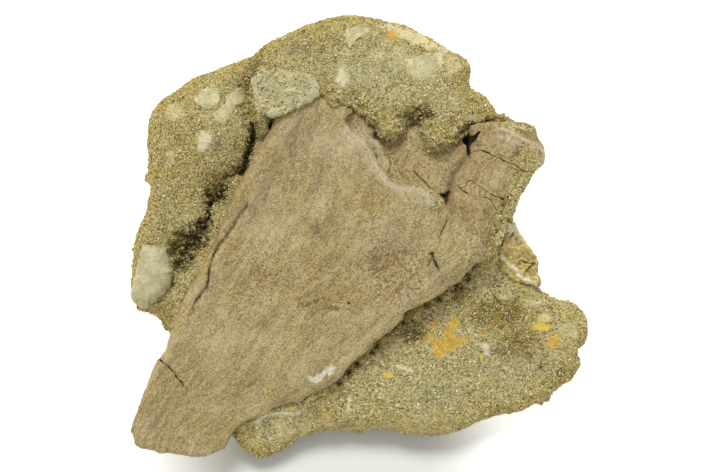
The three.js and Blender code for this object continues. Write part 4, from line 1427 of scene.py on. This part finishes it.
def sandstone_material(rock, clay):
    """Coarse sandstone: its grains under the rind, the grey, pale, orange, yellow and white spots, and the
    painted shade of the crevice, the hollow, the caves and the pits with the darker patches, each laid over
    what comes before it as its mask says. Round grains stand out in the bump."""
    shade = Shade("coarse_sandstone")
    colour, coarse, fine = sand_colour(shade, rock)
    patches = shade.cloud(shade.place, 7, 4.0, 0.65)
    rind = shade.mask("rind") * patches.between(0.36, 0.6, 0.35, 1.0)
    colour = shade.tinted(rind * 0.75, colour, rock.rind_tint)
    colour = shade.mix(shade.mask("grey") * 0.5, colour, shade.mix(0.5, colour, rock.grey))
    stain = shade.cloud(shade.place, 2.2, 3.0)
    pale = shade.mask("pale") * (0.72 + 0.5 * (stain - 0.5) + 0.35 * (fine - 0.5))
    colour = shade.mix(pale, colour, clay.pale)
    iron = shade.mask("iron") * (0.82 + 0.6 * (stain - 0.5) + 0.5 * (fine - 0.5))
    rusty = shade.mix(patches.between(0.5, 0.66) * 0.5, rock.iron, rock.iron_dark)
    colour = shade.mix(iron, colour, shade.mix(coarse.between(0.6, 0.95), rusty, rock.iron_light))
    colour = shade.mix(shade.mask("yellow") * (0.95 + 0.3 * (fine - 0.5)), colour, rock.yellow)
    colour = shade.mix(shade.mask("white") * 0.9, colour, clay.white)
    # Painted shade in the crevice, the hollow, the caves and the pits, and the darker patches.
    colour = shade.mix(shade.mask("painted_shade_and_dark_patches") * 0.93, colour, rock.shadow)
    size = rock.grain_size / MM
    round_grain = 1 - shade.grains(shade.place, size).between(*GRAIN_EDGE)
    small_grain = 1 - shade.grains(shade.place, FINE_SHARE * size).between(*GRAIN_EDGE)
    smoother = 1 - 0.6 * (shade.mask("pale") + shade.mask("iron")).between(0, 1)
    height = (round_grain * 0.6 + small_grain * 0.4 + coarse * 0.5) * smoother
    return shade.finish(colour, 0.92, height, 0.45 * MM, 0.75)


def bone_material(bone, rock):
    """Fossil bone: a tone between two browns from long strands and bundles of fibre, slanted scratches,
    mottling and specks, tinted and worn as the masks say, with a painted highlight along the strut's crests,
    freckles of rust, sand and crystals, darker patches of its own, and painted shade in its pores and cracks."""
    shade = Shade("fossil_bone")
    fibre = shade.mask("fibre", "Vector")
    strands = shade.cloud(shade.scaled(fibre, (1, 0.12, 1)), 0.75, 3.0, 0.75)
    bundles = shade.cloud(shade.scaled(fibre, (1, 0.1, 1)), 2.4, 3.0, 0.6)
    turn = {"Vector": shade.place, "Angle": -0.45}
    slanted = shade.node("ShaderNodeVectorRotate", {"rotation_type": "Z_AXIS"}, turn)
    hatch = shade.cloud(shade.scaled(slanted, (0.14, 1, 1)), 0.7, 3.0, 0.75)
    mottle = shade.cloud(shade.scaled(fibre, (1, 0.5, 1)), 1.2, 5.0, 0.8)
    broad = shade.cloud(shade.place, 11, 3.0)
    specks = shade.dice(shade.place, 0.38)
    flecks = shade.dice(shade.place, 0.72)
    porous = shade.scaled(fibre, (1, 0.6, 1))
    pore = (1 - shade.grains(porous, 0.7).between(0.12, 0.42)) * shade.dice(porous, 0.7).between(0.62, 0.72)
    tone = 0.5 + (strands - 0.5) * 0.9 + (hatch - 0.5) * 0.6 + (bundles - 0.5) * 0.8 + (mottle - 0.5) * 0.3
    tone = tone + (specks - 0.5) * 0.55
    colour = shade.mix(tone.between(0.1, 0.9), bone.dark_tone, bone.light_tone)
    colour = shade.tinted(broad.between(0.4, 0.6) * 0.5, colour, bone.broad_tint)
    colour = shade.tinted(shade.mask("ochre") * 0.75, colour, bone.ochre_tint)
    colour = shade.tinted(shade.mask("pink") * 0.6, colour, bone.pink_tint)
    pale = shade.mask("pale") * (0.68 + (mottle - 0.5) * 1.6 + (flecks - 0.5) * 0.9)
    colour = shade.mix(pale, colour, bone.pale)
    freckles = shade.mask("rust") * 0.9 + flecks * 1.3 - 1.15
    colour = shade.mix(freckles.between(0, 0.32) * 0.8, colour, bone.rust)
    # Pores darkened with painted shade.
    colour = shade.mix(pore * 0.45, colour, bone.crack)
    sand, _, fine = sand_colour(shade, rock)
    sandy = shade.mask("sandy")
    colour = shade.mix(sandy * 0.85, colour, shade.tinted(0.3, sand, rock.rind_tint))
    colour = shade.mix(shade.mask("white") * (0.2 + 0.9 * fine), colour, bone.crystal)
    # Painted shade in cracks, pits, holes and at the strut's foot, with the bone's own darker patches.
    colour = shade.mix(shade.mask("dark") * 0.85, colour, bone.crack)
    grit = 1 - shade.grains(shade.place, 0.8 * rock.grain_size / MM).between(*GRAIN_EDGE)
    height = (strands + hatch) * 0.25 + mottle * 0.15 + specks * 0.3 - pore * 0.5 + sandy * grit * 1.2
    return shade.finish(colour, 0.68 + 0.2 * mottle, height, 0.22 * MM, 0.7)


def clay_material(clay, rock, name, light, speckled=False):
    """Pale claystone, clouded and finely speckled. A plain one has sand round its rim and a few dark grains;
    a speckled one has stronger specks, and a grey sandy core in a pale ring."""
    shade = Shade(name)
    cloudy = shade.cloud(shade.place, 4.5, 4.0, 0.65)
    fine = shade.cloud(shade.place, 0.7, 3.0, 0.7)
    colour = shade.mix(cloudy.between(0.3, 0.7), clay.shade, light)
    contrast = 0.5 if speckled else 0.14
    specks = shade.dice(shade.place, 0.45)
    colour = shade.brighter(colour, 0.8 - contrast / 2 + 0.4 * fine + contrast * specks)
    sand, coarse, grains = sand_colour(shade, rock)
    if speckled:
        core = shade.mask("core")
        ring = core.between(0.02, 0.25) * (1 - core.between(0.4, 0.7))
        colour = shade.mix(ring * 0.7, colour, clay.pale)
        gritty = shade.mix(0.5, sand, rock.grey)
        colour = shade.mix(core.between(0.4, 0.8) * (0.35 + 0.6 * grains), colour, gritty)
    else:
        rim = shade.mask("rim") + (cloudy - 0.5) * 0.5
        colour = shade.mix(rim.between(0.9, 1.05) * 0.8, colour, sand)
        colour = shade.mix(coarse.between(0.9, 0.94) * 0.35, colour, rock.dark_grain)
    height = fine * 0.5 + grains * 0.4 + cloudy * 0.3
    return shade.finish(colour, 0.8, height, 0.2 * MM, 0.6)


def grain_materials(sand):
    """One plain material for each tone of grain; quartz is the glossiest."""
    roughness = {tone: 0.35 if tone == "quartz" else 0.8 for tone in TONES}
    return [Shade("grain_" + tone).coat(getattr(sand, tone), roughness[tone]) for tone in TONES]


def flake_material(clay):
    """Flaky claystone: yellowish and clouded, darker in its streaks, with painted shade in its slits, and
    white along its rim.
    """
    shade = Shade("flaky_claystone")
    cloudy = shade.cloud(shade.place, 3.0, 4.0, 0.7)
    fine = shade.dice(shade.place, 0.6)
    colour = shade.mix(cloudy.between(0.35, 0.65), clay.flake_dark, clay.flake)
    colour = shade.brighter(colour, 0.82 + 0.36 * fine)
    # Painted shade in the slits, and darker streaks.
    colour = shade.mix(shade.mask("slit") * 0.45, colour, clay.flake_dark)
    colour = shade.mix(shade.mask("rim") * (0.6 + 0.5 * cloudy), colour, clay.white)
    return shade.finish(colour, 0.85, fine * 0.5 + cloudy, 0.35 * MM, 0.7)


# ---- Settings ----
def colour_of(name, description, shown):
    """A colour setting, whose default is given as seen on a screen."""
    words = {"name": name, "description": description}
    return FloatVectorProperty(**words, subtype="COLOR", size=3, min=0, max=1, default=paint(*shown))


def length_of(name, description, default, least=0.0):
    """A small length setting, in metres."""
    words = {"name": name, "description": description}
    return FloatProperty(**words, default=default, min=least, precision=5, unit="LENGTH")


def strength_of(name, description, default):
    """A setting that is a plain number, 0 or more."""
    return FloatProperty(name=name, description=description, default=default, min=0)


class FossilRock(bpy.types.PropertyGroup):
    """The block of sandstone."""

    grain_size: length_of("Grain size", "Width of a coarse sand grain", 0.5 * MM, 0.2 * MM)
    relief: strength_of("Face relief", "Strength of the lumps on the face", 1.0)
    break_relief: strength_of("Break relief", "Strength of the broken sides", 1.0)
    dark_grain: colour_of("Dark grains", "Colour of the darkest grains", (112, 99, 52))
    middle_grain: colour_of("Middle grains", "Colour of most grains", (190, 176, 114))
    light_grain: colour_of("Light grains", "Colour of the lightest grains", (226, 216, 166))
    rind_tint: colour_of("Rind tint", "Multiplies the colour of the weathered rim", (250, 232, 158))
    grey: colour_of("Grey patches", "Colour of greenish grey patches", (166, 162, 126))
    iron: colour_of("Iron stain", "Orange of the iron-stained clasts", (205, 165, 68))
    iron_light: colour_of("Light iron stain", "Lighter grains of the same clasts", (228, 190, 88))
    iron_dark: colour_of("Dark iron stain", "Browner parts of the same clasts", (150, 112, 54))
    yellow: colour_of("Yellow stain", "Yellow of the brightest clasts", (236, 208, 84))
    shadow: colour_of("Cavities", "Colour deep in the crevice and the hollow", (34, 27, 11))


class FossilSand(bpy.types.PropertyGroup):
    """The loose grains on the sandstone and on what it touches."""

    density: strength_of("Density", "Grains to a square millimetre", 3.1)
    radius: length_of("Grain radius", "Radius of the middling grains", 0.29 * MM, 0.1 * MM)
    quartz: colour_of("Quartz", "Colour of the clearest grains", (230, 224, 184))
    cream: colour_of("Cream", "Colour of the light grains", (220, 208, 154))
    buff: colour_of("Buff", "Colour of the middling grains", (204, 188, 122))
    olive: colour_of("Olive", "Colour of the darker grains", (176, 162, 92))
    umber: colour_of("Umber", "Colour of the darkest grains", (106, 92, 46))
    straw: colour_of("Straw", "Colour of the iron-stained grains", (204, 174, 88))
    grey: colour_of("Grey", "Colour of the grey grains", (158, 156, 126))


class FossilBone(bpy.types.PropertyGroup):
    """The bone."""

    crack_gap: length_of("Crack width", "Gap between the strut's pieces", 0.48 * MM)
    fibre_depth: length_of("Fibre depth", "Height of the fine ridges along the bone", 0.045 * MM)
    dark_tone: colour_of("Dark tone", "Darker tone of the fibres", (132, 115, 75))
    light_tone: colour_of("Light tone", "Lighter tone of the fibres", (200, 184, 133))
    broad_tint: colour_of("Broad tint", "Multiplies wide patches", (236, 224, 208))
    ochre_tint: colour_of("Ochre tint", "Multiplies the yellowish parts", (252, 240, 205))
    pink_tint: colour_of("Strut tint", "Multiplies the strut", (252, 243, 238))
    # Also a painted highlight on the strut's crests and the low ridge.
    pale: colour_of("Worn edges", "Colour of the worn lip and ridges", (206, 191, 156))
    rust: colour_of("Rust", "Colour of the reddish-brown stains", (124, 88, 46))
    crystal: colour_of("Crystals", "Colour of the small white crystals", (232, 228, 206))
    # Painted shade deep in cracks, pits and pores; also the bone's own darker patches.
    crack: colour_of("Cracks", "Colour deep in cracks and pits", (30, 19, 9))


class FossilClay(bpy.types.PropertyGroup):
    """Pebbles and chips of claystone."""

    pale: colour_of("Pale clay", "Colour of the chips and of the rock's pale spots", (232, 223, 172))
    pebble: colour_of("Pebble", "Colour of the speckled pebble", (194, 186, 146))
    smooth: colour_of("Smooth pebble", "Colour of the smooth pebble", (206, 199, 158))
    shade: colour_of("Clay shade", "Darker tone of the pebbles and chips", (178, 170, 126))
    flake: colour_of("Flaky clay", "Colour of the flaky stone", (222, 204, 134))
    flake_dark: colour_of("Flaky clay shade", "Darker tone of the flaky stone", (164, 142, 76))
    white: colour_of("White clay", "Colour of the flaky stone's rim and of white spots", (240, 234, 200))


class FossilStudio(bpy.types.PropertyGroup):
    """The floor, the lights and the camera."""

    key: strength_of("Key light", "Strength of the lamp", 2.0)
    key_width: FloatProperty(
        name="Key width", description="Angle that the lamp fills", default=math.radians(22), subtype="ANGLE",
    )
    fill: strength_of("Fill light", "Strength of the surrounding light", 0.55)
    floor: colour_of("Floor", "Colour of the floor", (222, 223, 217))
    glow: strength_of("Floor glow", "Light that the floor gives off", 0.8)
    lens: FloatProperty(name="Lens", description="Focal length in millimetres", default=150.0, min=10)


class FossilSettings(bpy.types.PropertyGroup):
    """All settings of the fossil."""

    rock: PointerProperty(type=FossilRock)
    sand: PointerProperty(type=FossilSand)
    bone: PointerProperty(type=FossilBone)
    clay: PointerProperty(type=FossilClay)
    studio: PointerProperty(type=FossilStudio)


# ---- Operators ----
class FOSSIL_OT_studio(bpy.types.Operator):
    """Adds the floor, the lights and the camera."""

    bl_idname = "fossil.studio"
    bl_label = "Studio"

    FLOOR_HALF = 6.0  # in metres
    KEY_FROM = Vector((-0.08, 0.42, 0.90))  # where the lamp shines from
    AIM = (-2.8, 0.4)  # on the face, in millimetres
    FRAME_WIDTH = 283.2 * MM  # of the view, where it meets the face
    SENSOR = 36.0  # in millimetres, as the lens is
    UNLIT = (-9.0, -84.0, 0.0)  # where the floor's glow fades away, in millimetres
    UNLIT_REACH = (70.0, 40.0)
    LEAST_GLOW = 0.05  # the share of the glow that is left there

    def execute(self, context):
        studio = context.scene.fossil.studio
        self.add_floor(context.scene, studio)
        self.add_light(context.scene, studio)
        self.add_camera(context.scene, studio)
        context.scene.view_settings.view_transform = "Standard"
        return {"FINISHED"}

    def add_floor(self, scene, studio):
        """A flat white floor, which gives off light of its own except in front of the block."""
        far, level = self.FLOOR_HALF, LOW[2]
        mesh = bpy.data.meshes.new("floor")
        corners = [(-far, -far, level), (far, -far, level), (far, far, level), (-far, far, level)]
        mesh.from_pydata(corners, [], [(0, 1, 2, 3)])
        shade = Shade("floor_paint")
        mesh.materials.append(shade.coat(studio.floor, 0.9))
        away = shade.node("ShaderNodeVectorMath", {"operation": "SUBTRACT"}, {0: shade.place, 1: self.UNLIT})
        away = shade.scaled(away, (1 / self.UNLIT_REACH[0], 1 / self.UNLIT_REACH[1], 0))
        distance = shade.node("ShaderNodeVectorMath", {"operation": "LENGTH"}, {0: away}, "Value")
        lit = distance.between(0.5, 1.25, self.LEAST_GLOW)
        shade.put(shade.shader.inputs["Emission Color"], shade.brighter((1.0, 1.0, 1.0), lit))
        shade.put(shade.shader.inputs["Emission Strength"], studio.glow)
        floor = bpy.data.objects.new("floor", mesh)
        scene.collection.objects.link(floor)
        floor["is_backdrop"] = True

    def add_light(self, scene, studio):
        """A broad lamp, and a white world that lights the fossil at the fill's strength."""
        lamp = bpy.data.lights.new("key", "SUN")
        lamp.energy = studio.key
        lamp.angle = studio.key_width
        key = bpy.data.objects.new("key", lamp)
        key.rotation_euler = self.KEY_FROM.to_track_quat("Z", "Y").to_euler()
        scene.collection.objects.link(key)
        world = bpy.data.worlds.new("studio")
        world.use_nodes = True
        tree = world.node_tree
        tree.nodes.clear()
        output = tree.nodes.new("ShaderNodeOutputWorld")
        background = tree.nodes.new("ShaderNodeBackground")
        level = tree.nodes.new("ShaderNodeMapRange")
        level.inputs["To Min"].default_value = studio.fill
        level.inputs["To Max"].default_value = 1.0
        seen = tree.nodes.new("ShaderNodeLightPath")
        tree.links.new(seen.outputs["Is Camera Ray"], level.inputs["Value"])
        tree.links.new(level.outputs["Result"], background.inputs["Strength"])
        background.inputs["Color"].default_value = (1, 1, 1, 1)
        tree.links.new(background.outputs[0], output.inputs["Surface"])
        scene.world = world

    def add_camera(self, scene, studio):
        """A camera square to the face, as far off as its lens needs to take in the frame's width."""
        camera = bpy.data.cameras.new("camera")
        camera.lens = studio.lens
        camera.sensor_width = self.SENSOR
        camera.clip_end = 50
        distance = self.FRAME_WIDTH * studio.lens / self.SENSOR
        aim = FACE_MIDDLE + np.array([*self.AIM, 0.0]) @ FACE_AXES * MM
        eye = aim + FACE_AXES[2] * distance
        holder = bpy.data.objects.new("camera", camera)
        turn = Matrix([list(row) for row in FACE_AXES.T]).to_4x4()
        holder.matrix_world = Matrix.Translation(Vector(eye)) @ turn
        scene.collection.objects.link(holder)
        scene.camera = holder


class FOSSIL_OT_rock(bpy.types.Operator):
    """Adds the block of sandstone."""

    bl_idname = "fossil.rock"
    bl_label = "Sandstone block"

    def execute(self, context):
        settings = context.scene.fossil
        points, faces, layers = rock_body(settings.rock)
        material = sandstone_material(settings.rock, settings.clay)
        make_piece("rock_block", points, faces, [material], layers, "sandstone_matrix")
        return {"FINISHED"}


class FOSSIL_OT_bone(bpy.types.Operator):
    """Adds the blade, the two broken pieces of the strut and the wedge between them."""

    bl_idname = "fossil.bone"
    bl_label = "Bone"

    def execute(self, context):
        settings = context.scene.fossil
        material = bone_material(settings.bone, settings.rock)
        for name, piece in BONE_PIECES.items():
            points, faces, layers = bone_body(settings.bone, piece)
            make_piece(name, points, faces, [material], layers, piece["node"])
        return {"FINISHED"}


class FOSSIL_OT_pebbles(bpy.types.Operator):
    """Adds the two claystone pebbles."""

    bl_idname = "fossil.pebbles"
    bl_label = "Pebbles"

    SHOWN = 6.5  # the height above which the speckled pebble's top shows, in millimetres

    def execute(self, context):
        settings = context.scene.fossil
        clay = settings.clay
        plain = clay_material(clay, settings.rock, "pebble_clay", clay.smooth)
        speckled = clay_material(clay, settings.rock, "speckled_clay", clay.pebble, speckled=True)
        points, faces, rim = pebble_body(PEBBLE_LEFT, level=-7.0, rise=8.6, sink=7.0, power=2.5)
        make_piece("pebble_left", points, faces, [plain], {"rim": rim * 0.9}, "clay_pebble_left")
        points, faces, rim = pebble_body(PEBBLE_TOP, level=6.2, rise=2.8, sink=9.0, power=4.4)
        core = blots(points[:, 0], points[:, 1], PEBBLE_CORE, 0.5, 66)
        points[:, 2] -= 0.9 * core * (points[:, 2] > self.SHOWN)
        buried = ease(60, 64, points[:, 1] + 3 * noise(points, 5, 68))
        sand = np.maximum(0.15 + 0.45 * ease(0.5, 0.9, core), 0.9 * buried) * (points[:, 2] > self.SHOWN)
        layers = {"rim": rim, "core": core, "sand": sand, "grey": 0.9 * core, "painted_shade_and_dark_patches": 0.3 * core}
        make_piece("pebble_top", points, faces, [speckled], layers, "clay_pebble_top")
        return {"FINISHED"}


class FOSSIL_OT_chips(bpy.types.Operator):
    """Adds the thin claystone chips in the rock's face."""

    bl_idname = "fossil.chips"
    bl_label = "Chips"

    def execute(self, context):
        settings = context.scene.fossil
        material = clay_material(settings.clay, settings.rock, "chip_clay", settings.clay.pale)
        for name, (node, outline) in CHIPS.items():
            points, faces, rim = chip_body(outline)
            upper = np.arange(len(rim)) < len(rim) // 2
            layers = {"rim": rim, "sand": 0.7 * ease(0.72, 0.98, rim + 0.15 * noise(points, 3, 67)) * upper}
            make_piece(name, points, faces, [material], layers, node)
        return {"FINISHED"}


class FOSSIL_OT_flake(bpy.types.Operator):
    """Adds the flaky claystone in the notch of the right edge."""

    bl_idname = "fossil.flake"
    bl_label = "Flaky stone"

    def execute(self, context):
        points, faces, layers = flake_body()
        material = flake_material(context.scene.fossil.clay)
        make_piece("flake_right", points, faces, [material], layers, "clay_flake_right")
        return {"FINISHED"}


class FOSSIL_OT_sand(bpy.types.Operator):
    """Adds the loose grains of the sandstone: on the block, on the bone, on the speckled pebble and on the
    chips. They are shared out at random among as few pieces as their number allows."""

    bl_idname = "fossil.sand"
    bl_label = "Sand grains"

    SEED = 7
    MOST = 45000  # grains in a piece
    SPREAD = 0.28  # of the logarithm of the grains' sizes

    def execute(self, context):
        sand = context.scene.fossil.sand
        dice = np.random.default_rng(self.SEED)
        sandy = [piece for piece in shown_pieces() if "sand" in piece.data.attributes]
        found = [sprinkled(piece, sand.density, dice) for piece in sandy]
        places, normals, tones = (np.concatenate(parts) for parts in zip(*found))
        radii = sand.radius / MM * dice.lognormal(0, self.SPREAD, len(places))
        centres = places + normals * (radii * dice.uniform(-0.5, 0.5, len(places)))[:, None]
        materials = grain_materials(sand)
        order = dice.permutation(len(places))
        parts = -(-len(places) // self.MOST)
        for number, part in enumerate(np.array_split(order, parts)):
            points, faces = grain_mesh(centres[part], radii[part], dice)
            picked = np.repeat(tones[part], len(SIDES))
            name = f"sand_grains_{number + 1}"
            make_piece(name, points, [faces], materials, {}, "sandstone_matrix", picked)
        return {"FINISHED"}


class FOSSIL_PT_panel(bpy.types.Panel):
    """Lists the steps and their settings."""

    bl_idname = "FOSSIL_PT_panel"
    bl_label = "Fossil bone"
    bl_space_type = "VIEW_3D"
    bl_region_type = "UI"
    bl_category = "Fossil"

    def draw(self, context):
        for step in STEPS:
            self.layout.operator(step.bl_idname)
        for group in ("rock", "sand", "bone", "clay", "studio"):
            settings = getattr(context.scene.fossil, group)
            box = self.layout.box()
            box.label(text=group.capitalize())
            for name in settings.__annotations__:
                box.prop(settings, name)


GROUPS = (FossilRock, FossilSand, FossilBone, FossilClay, FossilStudio, FossilSettings)
STEPS = (
    FOSSIL_OT_studio, FOSSIL_OT_rock, FOSSIL_OT_bone, FOSSIL_OT_pebbles, FOSSIL_OT_chips, FOSSIL_OT_flake,
    FOSSIL_OT_sand,
)


def register():
    """Registers the classes and gives each scene the fossil's settings."""
    for kind in (*GROUPS, *STEPS, FOSSIL_PT_panel):
        bpy.utils.register_class(kind)
    bpy.types.Scene.fossil = PointerProperty(type=FossilSettings)


def unregister():
    """Takes back what register did."""
    del bpy.types.Scene.fossil
    for kind in reversed((*GROUPS, *STEPS, FOSSIL_PT_panel)):
        bpy.utils.unregister_class(kind)


def main():
    """Registers the classes and builds everything."""
    register()
    bpy.ops.fossil.studio()
    bpy.ops.fossil.rock()
    bpy.ops.fossil.bone()
    bpy.ops.fossil.pebbles()
    bpy.ops.fossil.chips()
    bpy.ops.fossil.flake()
    bpy.ops.fossil.sand()


if __name__ == "__main__":
    main()
